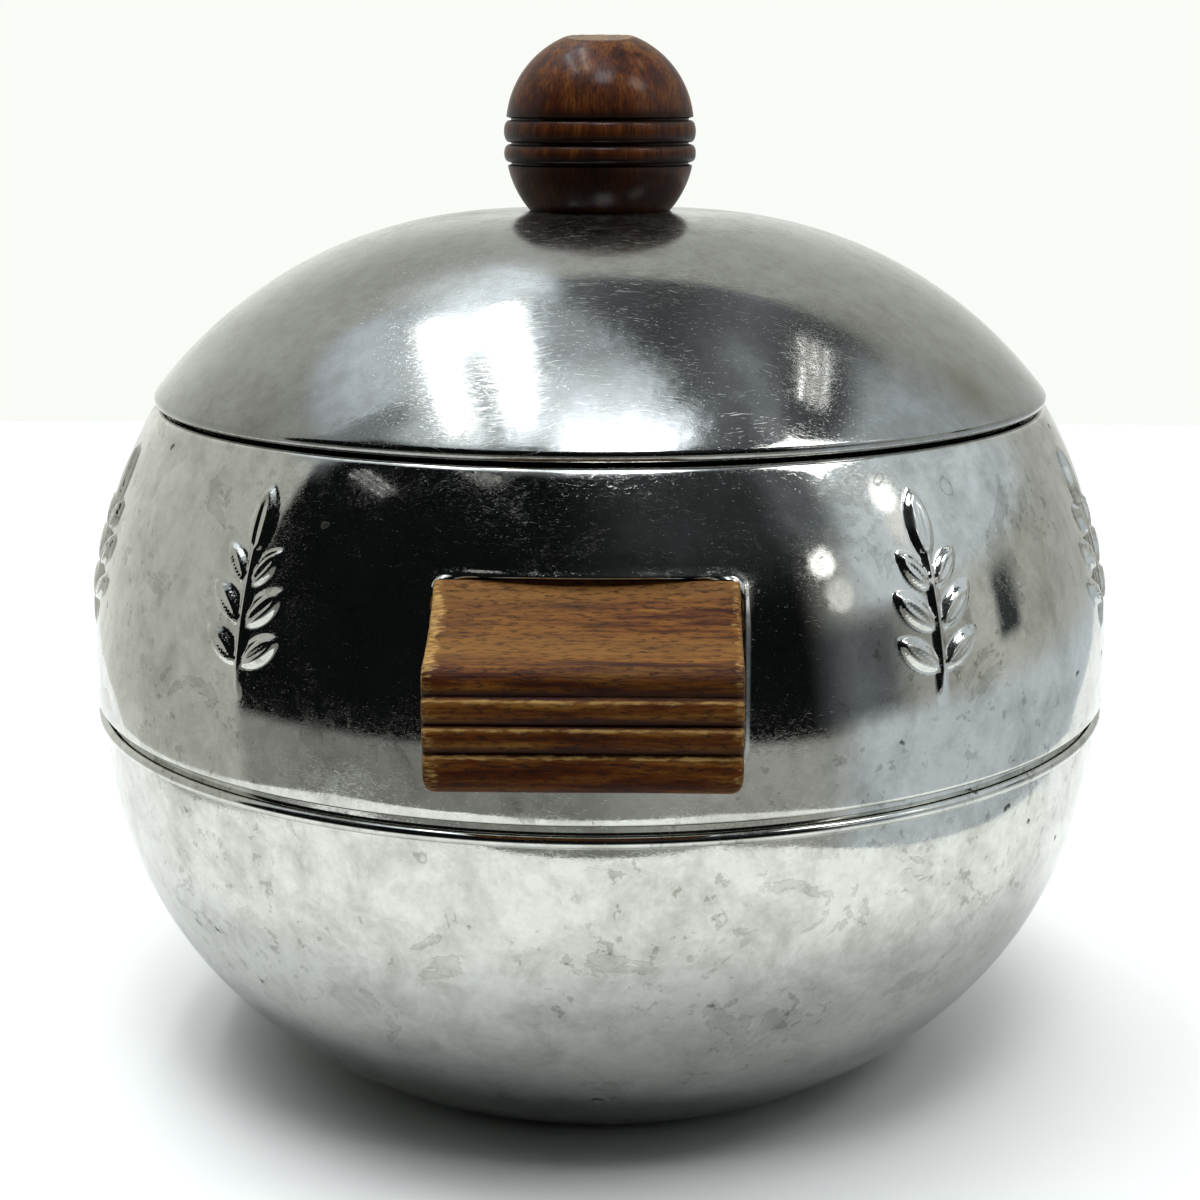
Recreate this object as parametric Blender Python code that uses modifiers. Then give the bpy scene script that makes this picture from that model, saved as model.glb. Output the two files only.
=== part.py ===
"""A double-walled ice bucket: a round metal bowl and band around an insulated liner, two wooden
side handles, and a domed, insulated lid with a turned wooden knob.

Metres, +Z up. The origin is the centre of the foot ring, on the surface that the bucket stands on.
The handles lie on the Y axis, the front one towards -Y. The lid's pieces hang from the empty "lid".
Every outline of a turned piece is a list of (radius, height) points.
"""

from math import asin, atan2, cos, hypot, pi, radians, sin, sqrt

import bmesh
import bpy

# Clearances
GAP = 0.0003  # between pieces that touch
FIT = 0.0004  # between pieces that slide into each other
PLAY = 0.0010  # around what has to move freely, or stays clear

# Sheet metal
SHELL_SHEET = 0.0008  # bowl, band and lid dome
LINER_SHEET = 0.0007  # liner and lid liner

# Liner
MOUTH_RADIUS = 0.0808  # inside of the liner at its rim
LINER_TAPER = 0.0085  # how much narrower the liner's wall is at its foot
LINER_CORNER = 0.0220  # rounding between the liner's wall and floor
RIM_NECK = 0.0024  # flange from the liner's wall to the middle of its rolled edge
RIM_BEAD = 0.00065  # radius of the liner's rolled edge
MOUTH_ROUND = 0.0018  # rounding between the liner's flange and wall

# Band, the upper part of the outer wall
BAND_HEIGHT = 0.0566
BAND_BULGE = 0.01455  # from the middle of the band's shoulder rounding out to its widest level
BAND_WIDEST = 0.0074  # widest level above the band's lower edge
SHOULDER_ROUND = 0.0016
SHOULDER_OVERHANG = 0.0005  # the band's shoulder outside the lid's rolled edge
BAND_EDGE_ROUND = 0.0009
BAND_EDGE_LIP = 0.0003  # flat that the rounded lower edge ends in

# Bowl, the lower part of the outer wall
BOWL_HEIGHT = 0.0744  # up to the top of its bead
BOWL_BEAD = 0.0012  # radius of the bead around the bowl's rim
SEAM_GROOVE = 0.0016  # open groove between the bowl's bead and the band
COLLAR_HEIGHT = 0.0080  # of the bowl's collar inside the band
COLLAR_STEP = 0.0005  # from the collar out to the bowl
FOOT_RADIUS = 0.0532  # outside of the flat foot ring
FOOT_ROUND = 0.0040
FOOT_WIDTH = 0.0052
FOOT_RECESS = 0.0025

# Insulation
JACKET_THICKNESS = 0.0062
JACKET_TOP_GAP = 0.0050  # below the band's lip
JACKET_HEIGHT = 0.0880
BASE_PAD_THICKNESS = 0.0110
LID_PAD_THICKNESS = 0.0160
LID_PAD_SIDE = 0.0050  # upright part of that pad's edge

# Lid
LID_RISE = 0.0344  # from the middle of the lid's rolled edge up to the knob's seat
LID_SEAT_RADIUS = 0.0180  # flat seat under the knob
LID_EDGE_ROUND = 0.0014  # outer radius of the dome's rolled edge
LID_LIP = 0.0016  # lip that the rolled edge ends in
PLUG_DEPTH = 0.0082  # how far the lid liner reaches into the mouth
PLUG_PLAY = 0.0012  # around the plug, inside the liner
PLUG_ROUND = 0.0026
DISH_RISE = 0.0038  # how much the lid liner domes up at its middle
DISH_RIM = 0.0050  # flat ring around that dome

# Knob
KNOB_RADIUS = 0.0184  # of the ball
KNOB_BASE = 0.0119  # from the knob's base to the middle of its lower ball
KNOB_WAIST = 0.0039  # from the middle of the lower ball to the middle of the upper one
KNOB_TOP = 0.0176  # from the middle of the upper ball to the flat on top
KNOB_GROOVES = (0.0089, 0.0127, 0.0173)  # heights above the base
KNOB_GROOVE_DEPTH = 0.0009
KNOB_BEAD_BULGE = 0.0004  # how far the beads stand out of the ball

# Handles
HANDLE_WIDTH = 0.0493
HANDLE_DEPTH = 0.0232
HANDLE_RAISE = 0.0107  # underside above the band's lower edge
HANDLE_FIRST_RIB = 0.0065
HANDLE_RIB = 0.0045
HANDLE_RIBS = 2  # narrow ribs above the first one
HANDLE_GROOVE_DEPTH = 0.0010
HANDLE_NOSE = 0.0048  # from the top groove up to the crest of the nose
HANDLE_NOSE_SET_BACK = 0.0030  # crest of the nose behind the handle's front
HANDLE_NOSE_BULGE = 0.0012  # of the rounding from the top groove up to that crest
HANDLE_SCOOP_RISE = 0.0085  # from the crest of the nose up to the handle's back edge
HANDLE_SCOOP_DEPTH = 0.0014
HANDLE_EDGE_ROUND = 0.0007
HANDLE_FOOT_ROUND = 0.0020

# Flat seats pressed into the band for the handles
SEAT_MARGIN = 0.0014  # around the handle's back
SEAT_WALL = 0.0010  # width of the step around the seat

# Screws and washers
SCREW_RADIUS = 0.0019
SCREW_LENGTH = 0.0150
SCREW_TIP = 0.0030
SCREW_HEAD_RADIUS = 0.0040
SCREW_HEAD_HEIGHT = 0.0024
SCREW_HEAD_SIDE = 0.0009  # upright part of the head's edge
SCREW_HEAD_FLAT = 0.0030  # radius of the flat on the head
SCREW_SLOT_WIDTH = 0.0010
SCREW_SLOT_DEPTH = 0.0011
SCREW_INSET = 0.0117  # from a handle's end to its nearer screw
SCREW_RAISE = 0.0115  # screws above the handle's underside
WASHER_RADIUS = 0.0050
WASHER_THICKNESS = 0.0010
KNOB_WASHER_RADIUS = 0.0090

# Facets
TURN_STEPS = 36
KNOB_STEPS = 24
SMALL_STEPS = 16

# Levels and radii that follow from the sizes above
HOLE_RADIUS = SCREW_RADIUS + FIT
BAND_BOTTOM = BOWL_HEIGHT + SEAM_GROOVE
LIP_TOP = BAND_BOTTOM + BAND_HEIGHT
LINER_RADIUS = MOUTH_RADIUS + LINER_SHEET
BEAD_RADIUS = LINER_RADIUS + RIM_NECK
BEAD_LEVEL = LIP_TOP + GAP + RIM_BEAD
BEAD_OUTSIDE = BEAD_RADIUS + RIM_BEAD
LID_LEVEL = BEAD_LEVEL + RIM_BEAD + GAP  # underside of the lid liner's flange
LID_EDGE_RADIUS = BEAD_OUTSIDE + FIT + LID_LIP  # middle of the dome's rolled edge
SHOULDER_RADIUS = LID_EDGE_RADIUS + SHOULDER_OVERHANG
BAND_RADIUS = SHOULDER_RADIUS + BAND_BULGE
BASE_FLOOR = FOOT_RECESS + SHELL_SHEET
LINER_FLOOR = BASE_FLOOR + GAP + BASE_PAD_THICKNESS + GAP  # underside of the liner
JACKET_RADIUS = LINER_RADIUS + FIT + JACKET_THICKNESS
SCREW_STACK = WASHER_THICKNESS + 2 * GAP  # from a screw's head to the sheet that it clamps
SEAT_DISTANCE = JACKET_RADIUS + PLAY + SCREW_HEAD_HEIGHT + SCREW_STACK + SHELL_SHEET
HANDLE_BOTTOM = BAND_BOTTOM + HANDLE_RAISE
TOP_GROOVE = HANDLE_FIRST_RIB + HANDLE_RIBS * HANDLE_RIB
HANDLE_HEIGHT = TOP_GROOVE + HANDLE_NOSE + HANDLE_SCOOP_RISE
SCREW_LEVEL = HANDLE_BOTTOM + SCREW_RAISE
SCREW_OFFSET = HANDLE_WIDTH / 2 - SCREW_INSET  # from the middle of a handle to each screw
HOLE_DEPTH = SCREW_LENGTH - SCREW_STACK - SHELL_SHEET + PLAY
KNOB_LEVEL = LID_RISE + GAP  # knob's base above the middle of the lid's rolled edge


# Outlines

def arc(centre, radius, start, end, steps):
    """Points on an arc about centre, from one angle to another, in degrees."""
    turn = (radians(end) - radians(start)) / steps
    angles = [radians(start) + turn * i for i in range(steps + 1)]
    return [(centre[0] + radius * cos(a), centre[1] + radius * sin(a)) for a in angles]


def blend_radius(along, across, corner):
    """Radius of an arc that starts square to `along` and ends tangent inside a rounded corner.

    The corner's middle lies `along` and `across` from the arc's start.
    """
    return (along**2 + across**2 - corner**2) / (2 * (across - corner))


def angle_between(centre, point):
    """Direction of a point from a centre, in degrees."""
    return atan2(point[1] - centre[1], point[0] - centre[0]) * 180 / pi


def sheet_outline(path, thickness, bead=0):
    """Closed outline of a sheet that runs along a centreline.

    The path starts at a free edge, which may be rolled to a bead, and ends on the axis.
    """
    over, under = [], []
    for i, (r, z) in enumerate(path):
        before = path[max(i - 1, 0)]
        after = path[min(i + 1, len(path) - 1)]
        run = hypot(after[0] - before[0], after[1] - before[1])
        side_r = -(after[1] - before[1]) / run * thickness / 2
        side_z = (after[0] - before[0]) / run * thickness / 2
        if r == 0:
            side_r, side_z = 0, -thickness / 2
        over.append((r - side_r, z - side_z))
        under.append((r + side_r, z + side_z))
    if not bead:
        return over[::-1] + under
    start = 180 - asin(thickness / 2 / bead) * 180 / pi
    return over[:0:-1] + arc(path[0], bead, start, -start, 6) + under[1:]


def bowl_path():
    """Outside of the bowl, from its collar inside the band down to the middle of its underside."""
    collar = band_path()[-1][0] - FIT
    rim = collar + COLLAR_STEP
    bead = (rim, BOWL_HEIGHT - BOWL_BEAD)
    top = BOWL_HEIGHT - 2 * BOWL_BEAD
    foot = (FOOT_RADIUS, FOOT_ROUND)
    radius = blend_radius(top - foot[1], rim - foot[0], FOOT_ROUND)
    middle = (rim - radius, top)
    foot_angle = angle_between(middle, foot)
    step = FOOT_RADIUS - FOOT_WIDTH
    return (
        [(collar, BOWL_HEIGHT + COLLAR_HEIGHT), (collar, BOWL_HEIGHT)]
        + arc(bead, BOWL_BEAD, 90, -90, 5)
        + arc(middle, radius, 0, foot_angle, 8)[1:]
        + arc(foot, FOOT_ROUND, foot_angle, -90, 2)[1:]
        + [(step, 0), (step - FOOT_RECESS, FOOT_RECESS), (0, FOOT_RECESS)]
    )


def band_path():
    """Outside of the band, from its lip down to its lower edge, above that edge."""
    shoulder = (SHOULDER_RADIUS, BAND_HEIGHT - SHOULDER_ROUND)
    rise = shoulder[1] - BAND_WIDEST
    radius = blend_radius(rise, BAND_BULGE, SHOULDER_ROUND)
    middle = (BAND_RADIUS - radius, BAND_WIDEST)
    inside = radius - BAND_EDGE_ROUND
    reach = sqrt(inside**2 - (BAND_WIDEST - BAND_EDGE_ROUND) ** 2)
    edge = (middle[0] + reach, BAND_EDGE_ROUND)
    shoulder_angle = angle_between(middle, shoulder)
    edge_angle = angle_between(middle, edge)
    return (
        [(LINER_RADIUS + FIT, BAND_HEIGHT)]
        + arc(shoulder, SHOULDER_ROUND, 90, shoulder_angle, 3)
        + arc(middle, radius, shoulder_angle, edge_angle, 8)[1:]
        + arc(edge, BAND_EDGE_ROUND, edge_angle, -90, 2)[1:]
        + [(edge[0] - BAND_EDGE_LIP, 0)]
    )


def liner_path():
    """Middle of the liner's sheet, from its rolled edge to the middle of its floor."""
    half = LINER_SHEET / 2
    top_radius = LINER_RADIUS - half
    floor = LINER_FLOOR + half
    flange = (top_radius + MOUTH_ROUND, BEAD_LEVEL - MOUTH_ROUND)
    corner = (top_radius - LINER_TAPER - LINER_CORNER, floor + LINER_CORNER)
    return (
        [(BEAD_RADIUS, BEAD_LEVEL)]
        + arc(flange, MOUTH_ROUND, 90, 180, 3)
        + arc(corner, LINER_CORNER, 0, -90, 5)
        + [(0, floor)]
    )


def dome_path():
    """Outside of the lid's dome, from the screw hole down to its lip, above LID_LEVEL."""
    edge_level = LINER_SHEET / 2
    edge = (LID_EDGE_RADIUS, edge_level)
    radius = blend_radius(LID_EDGE_RADIUS - LID_SEAT_RADIUS, LID_RISE, LID_EDGE_ROUND)
    middle = (LID_SEAT_RADIUS, edge_level + LID_RISE - radius)
    edge_angle = angle_between(middle, edge)
    lip = (LID_EDGE_RADIUS - LID_LIP, edge_level - LID_EDGE_ROUND)
    return (
        [(HOLE_RADIUS, edge_level + LID_RISE)]
        + arc(middle, radius, 90, edge_angle, 8)
        + arc(edge, LID_EDGE_ROUND, edge_angle, -90, 4)[1:]
        + [lip]
    )


def lid_floor_path(rim_radius):
    """Middle of the sheet across the lid liner's underside, from its flat rim to the middle."""
    dome_edge = rim_radius - DISH_RIM
    radius = (dome_edge**2 + DISH_RISE**2) / (2 * DISH_RISE)
    middle = (0, DISH_RISE - PLUG_DEPTH - radius)
    start = angle_between(middle, (dome_edge, -PLUG_DEPTH))
    dome = arc(middle, radius, start, 90, 4)[:-1]
    return [(rim_radius, -PLUG_DEPTH)] + dome + [(0, DISH_RISE - PLUG_DEPTH)]


def lid_liner_path():
    """Middle of the lid liner's sheet, from its flange to its middle, above LID_LEVEL."""
    half = LINER_SHEET / 2
    flange_edge = LID_EDGE_RADIUS - GAP
    plug_radius = MOUTH_RADIUS - PLUG_PLAY - half
    neck = (plug_radius + MOUTH_ROUND, half - MOUTH_ROUND)
    corner = (plug_radius - PLUG_ROUND, PLUG_ROUND - PLUG_DEPTH)
    return (
        [(flange_edge, half)]
        + arc(neck, MOUTH_ROUND, 90, 180, 3)
        + arc(corner, PLUG_ROUND, 0, -90, 3)[:-1]
        + lid_floor_path(corner[0])
    )


def knob_outline():
    """Half of the knob's section, from the flat on top round to its screw hole."""
    lower = (0, KNOB_BASE)
    upper = (0, KNOB_BASE + KNOB_WAIST)
    bead_radius = KNOB_RADIUS + KNOB_BEAD_BULGE
    floor_radius = KNOB_RADIUS - KNOB_GROOVE_DEPTH
    base_angle = -asin(KNOB_BASE / KNOB_RADIUS) * 180 / pi
    top_angle = asin(KNOB_TOP / KNOB_RADIUS) * 180 / pi
    low_groove, mid_groove, high_groove = KNOB_GROOVES
    groove = KNOB_GROOVE_DEPTH
    over_angle = asin((high_groove + groove / 2 - upper[1]) / KNOB_RADIUS) * 180 / pi
    under_angle = asin((low_groove - groove / 2 - lower[1]) / KNOB_RADIUS) * 180 / pi
    beads = [(floor_radius, high_groove)]
    for bottom, top in ((mid_groove, high_groove), (low_groove, mid_groove)):
        beads.append((bead_radius, top - groove))
        beads.append((bead_radius, bottom + groove))
        beads.append((floor_radius, bottom))
    return (
        [(0, upper[1] + KNOB_TOP)]
        + arc(upper, KNOB_RADIUS, top_angle, over_angle, 5)
        + beads
        + arc(lower, KNOB_RADIUS, under_angle, base_angle, 4)
        + [(HOLE_RADIUS, 0), (HOLE_RADIUS, HOLE_DEPTH), (0, HOLE_DEPTH)]
    )


def screw_outline():
    """Half of a screw's section. The head's bearing face is at height 0, its tip points up."""
    return [
        (0, SCREW_LENGTH),
        (SCREW_RADIUS, SCREW_LENGTH - SCREW_TIP),
        (SCREW_RADIUS, 0),
        (SCREW_HEAD_RADIUS, 0),
        (SCREW_HEAD_RADIUS, -SCREW_HEAD_SIDE),
        (SCREW_HEAD_FLAT, -SCREW_HEAD_HEIGHT),
        (0, -SCREW_HEAD_HEIGHT),
    ]


def ring_outline(inner, outer, bottom, top):
    """Closed rectangular section of a plain ring."""
    return [(inner, bottom), (inner, top), (outer, top), (outer, bottom)]


def jacket_outline():
    """Section of the insulation around the liner's wall. Its inside follows the wall's taper."""
    top = LIP_TOP - JACKET_TOP_GAP
    bottom = top - JACKET_HEIGHT
    wall_top = LIP_TOP - MOUTH_ROUND
    wall_foot = LINER_FLOOR + LINER_CORNER
    slope = LINER_TAPER / (wall_top - wall_foot)
    inner_top = LINER_RADIUS + FIT - slope * (wall_top - top)
    inner_bottom = LINER_RADIUS + FIT - slope * (wall_top - bottom)
    return [
        (inner_bottom, bottom),
        (inner_top, top),
        (JACKET_RADIUS, top),
        (JACKET_RADIUS, bottom),
    ]


def lid_pad_outline():
    """Half of the section of the lid's insulation, above LID_LEVEL.

    Its underside follows the lid liner, and its middle stays clear of the knob's screw.
    """
    lift = LINER_SHEET / 2 + GAP
    side = MOUTH_RADIUS - PLUG_PLAY - LINER_SHEET - PLUG_ROUND
    underside = [(r, z + lift) for r, z in lid_floor_path(side)]
    bottom = lift - PLUG_DEPTH
    top = bottom + LID_PAD_THICKNESS
    bevel = LID_PAD_THICKNESS - LID_PAD_SIDE
    return [(0, top), (side - bevel, top), (side, bottom + LID_PAD_SIDE)] + underside


def bow(start, end, rise, steps):
    """Points of a shallow curve that leaves start for end and bows to its right by rise."""
    along = (end[0] - start[0], end[1] - start[1])
    run = hypot(along[0], along[1])
    points = []
    for i in range(1, steps + 1):
        share = i / steps
        offset = 4 * rise * share * (1 - share) / run
        x = start[0] + along[0] * share + along[1] * offset
        y = start[1] + along[1] * share - along[0] * offset
        points.append((x, y))
    return points


def handle_outline():
    """Side view of a handle: distance from its back, and height above its underside."""
    front = HANDLE_DEPTH
    groove = front - HANDLE_GROOVE_DEPTH
    foot = (front - HANDLE_FOOT_ROUND, HANDLE_FOOT_ROUND)
    crest = (front - HANDLE_NOSE_SET_BACK, TOP_GROOVE + HANDLE_NOSE)
    outline = [(0, 0)] + arc(foot, HANDLE_FOOT_ROUND, -90, 0, 3)
    outline += bow(outline[-1], (groove, HANDLE_FIRST_RIB), HANDLE_GROOVE_DEPTH / 2, 3)
    for i in range(HANDLE_RIBS):
        top = HANDLE_FIRST_RIB + (i + 1) * HANDLE_RIB
        outline += bow(outline[-1], (groove, top), HANDLE_GROOVE_DEPTH, 4)
    outline += bow(outline[-1], crest, HANDLE_NOSE_BULGE, 4)
    outline += bow(crest, (0, HANDLE_HEIGHT), -HANDLE_SCOOP_DEPTH, 6)
    return outline


# Building

def clear_scene():
    for obj in list(bpy.data.objects):
        bpy.data.objects.remove(obj, do_unlink=True)


def new_collection(name):
    collection = bpy.data.collections.new(name)
    bpy.context.scene.collection.children.link(collection)
    return collection


def new_material(name, colour, roughness, metallic):
    material = bpy.data.materials.new(name)
    material.use_nodes = True
    shader = material.node_tree.nodes["Principled BSDF"]
    shader.inputs["Base Color"].default_value = (*colour, 1)
    shader.inputs["Roughness"].default_value = roughness
    shader.inputs["Metallic"].default_value = metallic
    return material


def place(obj, collection, parent=None, location=(0, 0, 0), rotation=(0, 0, 0)):
    collection.objects.link(obj)
    obj.parent = parent
    obj.location = location
    obj.rotation_euler = rotation
    return obj


def turned_object(name, outline, steps, closed=False):
    """An outline at +X turned about the Z axis by a Screw modifier."""
    mesh = bpy.data.meshes.new(name)
    count = len(outline)
    edges = [(i, i + 1) for i in range(count - 1)]
    if closed:
        edges.append((count - 1, 0))
    mesh.from_pydata([(r, 0, z) for r, z in outline], edges, [])
    obj = bpy.data.objects.new(name, mesh)
    screw = obj.modifiers.new("turn", "SCREW")
    screw.axis = "Z"
    screw.angle = 2 * pi
    screw.steps = steps
    screw.render_steps = steps
    screw.use_merge_vertices = True
    screw.merge_threshold = 0.00001
    screw.use_smooth_shade = True
    return obj


def add_sheet_thickness(obj):
    """Gives an open outer surface its sheet, on the inside."""
    solidify = obj.modifiers.new("sheet", "SOLIDIFY")
    solidify.thickness = SHELL_SHEET
    solidify.offset = -1


def evaluated_mesh(obj, cutters):
    """The object's mesh with its modifiers applied, and its loose caps welded."""
    cutters.objects.link(obj)
    bpy.context.view_layer.update()
    graph = bpy.context.evaluated_depsgraph_get()
    mesh = bpy.data.meshes.new_from_object(obj.evaluated_get(graph))
    bm = bmesh.new()
    bm.from_mesh(mesh)
    bmesh.ops.remove_doubles(bm, verts=bm.verts, dist=0.00001)
    bm.to_mesh(mesh)
    bm.free()
    bpy.data.objects.remove(obj, do_unlink=True)
    mesh.set_sharp_from_angle(angle=radians(35))
    return mesh


def shade_smooth(mesh):
    mesh.shade_smooth()
    mesh.set_sharp_from_angle(angle=radians(35))


def hide_cutter(obj, cutters):
    cutters.objects.link(obj)
    obj.hide_render = True
    obj.display_type = "WIRE"


def cylinder_cutter(name, radius, depth, location, rotation, cutters):
    """A drill, as long as `depth`, centred on its location."""
    mesh = bpy.data.meshes.new(name)
    bm = bmesh.new()
    bmesh.ops.create_cone(
        bm, cap_ends=True, segments=SMALL_STEPS, radius1=radius, radius2=radius, depth=depth
    )
    bm.to_mesh(mesh)
    bm.free()
    cutter = bpy.data.objects.new(name, mesh)
    cutter.location = location
    cutter.rotation_euler = rotation
    hide_cutter(cutter, cutters)
    return cutter


def cut(obj, cutter):
    boolean = obj.modifiers.new(cutter.name, "BOOLEAN")
    boolean.operation = "DIFFERENCE"
    boolean.object = cutter


def press_seats(mesh):
    """Presses the two flat handle seats into the band's open surface."""
    half_width = HANDLE_WIDTH / 2 + SEAT_MARGIN
    low = HANDLE_RAISE - SEAT_MARGIN
    high = HANDLE_RAISE + HANDLE_HEIGHT + SEAT_MARGIN
    bm = bmesh.new()
    bm.from_mesh(mesh)
    reach = half_width + SEAT_WALL + BAND_RADIUS * 2 * pi / TURN_STEPS
    cuts = [((0, 0, low), (0, 0, 1)), ((0, 0, high), (0, 0, 1))]
    cuts += [((0, 0, low - SEAT_WALL), (0, 0, 1)), ((0, 0, high + SEAT_WALL), (0, 0, 1))]
    for x in (half_width, half_width + SEAT_WALL):
        cuts += [((x, 0, 0), (1, 0, 0)), ((-x, 0, 0), (1, 0, 0))]
    for point, normal in cuts:
        near = [f for f in bm.faces if abs(f.calc_center_median().x) < reach]
        edges = {e for f in near for e in f.edges}
        verts = {v for f in near for v in f.verts}
        geometry = list(verts) + list(edges) + near
        bmesh.ops.bisect_plane(bm, geom=geometry, dist=0.00001, plane_co=point, plane_no=normal)
    slack = 0.00002
    for vert in bm.verts:
        inside = abs(vert.co.x) < half_width + slack
        if inside and low - slack < vert.co.z < high + slack:
            vert.co.y = SEAT_DISTANCE if vert.co.y > 0 else -SEAT_DISTANCE
    bm.to_mesh(mesh)
    bm.free()


def build_band(parts, cutters, material):
    surface = evaluated_mesh(turned_object("band_surface", band_path(), TURN_STEPS), cutters)
    press_seats(surface)
    surface.shade_smooth()
    band = bpy.data.objects.new("body_band", surface)
    add_sheet_thickness(band)
    for side in (-1, 1):
        drill = cylinder_cutter(
            f"seat_drill_{side:+d}",
            HOLE_RADIUS,
            4 * BAND_RADIUS,
            (side * SCREW_OFFSET, 0, SCREW_LEVEL),
            (pi / 2, 0, 0),
            cutters,
        )
        cut(band, drill)
    surface.materials.append(material)
    place(band, parts, location=(0, 0, BAND_BOTTOM))
    return band


def handle_mesh(cutters):
    """One wooden handle with its two blind screw holes. Its back is at X 0, its middle at Z 0."""
    curve = bpy.data.curves.new("handle_section", "CURVE")
    curve.dimensions = "2D"
    curve.fill_mode = "BOTH"
    curve.extrude = HANDLE_WIDTH / 2
    outline = handle_outline()
    spline = curve.splines.new("POLY")
    spline.points.add(len(outline) - 1)
    for point, (x, y) in zip(spline.points, outline, strict=True):
        point.co = (x, y, 0, 1)
    spline.use_cyclic_u = True
    section = bpy.data.objects.new("handle_section", curve)
    block = bpy.data.objects.new("handle_block", evaluated_mesh(section, cutters))
    rounding = block.modifiers.new("round", "BEVEL")
    rounding.width = HANDLE_EDGE_ROUND
    rounding.segments = 2
    rounding.limit_method = "ANGLE"
    rounding.angle_limit = radians(60)
    for side in (-1, 1):
        drill = cylinder_cutter(
            f"handle_drill_{side:+d}",
            HOLE_RADIUS,
            2 * HOLE_DEPTH,
            (0, SCREW_RAISE, side * SCREW_OFFSET),
            (0, pi / 2, 0),
            cutters,
        )
        cut(block, drill)
    mesh = evaluated_mesh(block, cutters)
    shade_smooth(mesh)
    return mesh


def screw_mesh(cutters):
    """A slotted screw. Its head's bearing face is at Z 0 and its tip points up."""
    screw = turned_object("screw_body", screw_outline(), SMALL_STEPS)
    slot_mesh = bpy.data.meshes.new("slot")
    bm = bmesh.new()
    bmesh.ops.create_cube(bm, size=1)
    slot_size = (4 * SCREW_HEAD_RADIUS, SCREW_SLOT_WIDTH, 2 * SCREW_SLOT_DEPTH)
    bmesh.ops.scale(bm, vec=slot_size, verts=bm.verts)
    bm.to_mesh(slot_mesh)
    bm.free()
    slot = bpy.data.objects.new("slot", slot_mesh)
    slot.location = (0, 0, -SCREW_HEAD_HEIGHT)
    hide_cutter(slot, cutters)
    cut(screw, slot)
    mesh = evaluated_mesh(screw, cutters)
    shade_smooth(mesh)
    return mesh


def build_handles(parts, cutters, wood, steel):
    """Both handles, and the two screws and washers that hold each from inside the band."""
    handle = handle_mesh(cutters)
    handle.materials.append(wood)
    screw = screw_mesh(cutters)
    screw.materials.append(steel)
    clamped = SEAT_DISTANCE - SHELL_SHEET - GAP  # outer side of a washer
    for name, way in (("front", -1), ("back", 1)):
        block = bpy.data.objects.new(f"handle_{name}", handle)
        back = way * (SEAT_DISTANCE + GAP)
        place(block, parts, None, (0, back, HANDLE_BOTTOM), (pi / 2, 0, way * pi / 2))
        towards = (-way * pi / 2, 0, 0)
        for side, x in (("left", -SCREW_OFFSET), ("right", SCREW_OFFSET)):
            washer = turned_object(
                f"handle_{name}_washer_{side}",
                ring_outline(HOLE_RADIUS, WASHER_RADIUS, -WASHER_THICKNESS, 0),
                SMALL_STEPS,
                closed=True,
            )
            washer.data.materials.append(steel)
            place(washer, parts, None, (x, way * clamped, SCREW_LEVEL), towards)
            fastener = bpy.data.objects.new(f"handle_{name}_screw_{side}", screw)
            bearing = way * (clamped - WASHER_THICKNESS - GAP)
            place(fastener, parts, None, (x, bearing, SCREW_LEVEL), towards)
    return screw


def build_body(parts, cutters, chrome, liner_metal, wool):
    bowl = turned_object("outer_bowl", bowl_path(), TURN_STEPS)
    add_sheet_thickness(bowl)
    bowl.data.materials.append(chrome)
    place(bowl, parts)

    build_band(parts, cutters, chrome)

    liner_section = sheet_outline(liner_path(), LINER_SHEET, RIM_BEAD)
    liner = turned_object("inner_liner", liner_section, TURN_STEPS)
    liner.data.materials.append(liner_metal)
    place(liner, parts)

    jacket = turned_object("insulation_jacket", jacket_outline(), TURN_STEPS, closed=True)
    jacket.data.materials.append(wool)
    place(jacket, parts)

    pad_radius = FOOT_RADIUS - FOOT_WIDTH - FOOT_RECESS - PLAY
    pad_outline = [(0, BASE_PAD_THICKNESS), (pad_radius, BASE_PAD_THICKNESS)]
    pad_outline += [(pad_radius, 0), (0, 0)]
    pad = turned_object("insulation_base", pad_outline, SMALL_STEPS * 2)
    pad.data.materials.append(wool)
    place(pad, parts, location=(0, 0, BASE_FLOOR + GAP))


def build_lid(parts, chrome, liner_metal, wool, wood, steel, screw):
    """The lid's pieces, on an empty that lifts straight up with them."""
    lid = bpy.data.objects.new("lid", None)
    place(lid, parts, location=(0, 0, LID_LEVEL))

    dome = turned_object("lid_dome", dome_path(), TURN_STEPS)
    add_sheet_thickness(dome)
    dome.data.materials.append(chrome)
    place(dome, parts, lid)

    lid_liner = turned_object("lid_liner", sheet_outline(lid_liner_path(), LINER_SHEET), TURN_STEPS)
    lid_liner.data.materials.append(liner_metal)
    place(lid_liner, parts, lid)

    pad = turned_object("lid_insulation", lid_pad_outline(), TURN_STEPS)
    pad.data.materials.append(wool)
    place(pad, parts, lid)

    seat = LINER_SHEET / 2 + KNOB_LEVEL
    knob = turned_object("lid_knob", knob_outline(), KNOB_STEPS)
    knob.data.materials.append(wood)
    place(knob, parts, lid, (0, 0, seat))

    under_dome = seat - 2 * GAP - SHELL_SHEET
    washer = turned_object(
        "knob_washer",
        ring_outline(HOLE_RADIUS, KNOB_WASHER_RADIUS, -WASHER_THICKNESS, 0),
        SMALL_STEPS,
        closed=True,
    )
    washer.data.materials.append(steel)
    place(washer, parts, lid, (0, 0, under_dome))

    knob_screw = bpy.data.objects.new("knob_screw", screw)
    place(knob_screw, parts, lid, (0, 0, under_dome - WASHER_THICKNESS - GAP))


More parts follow.
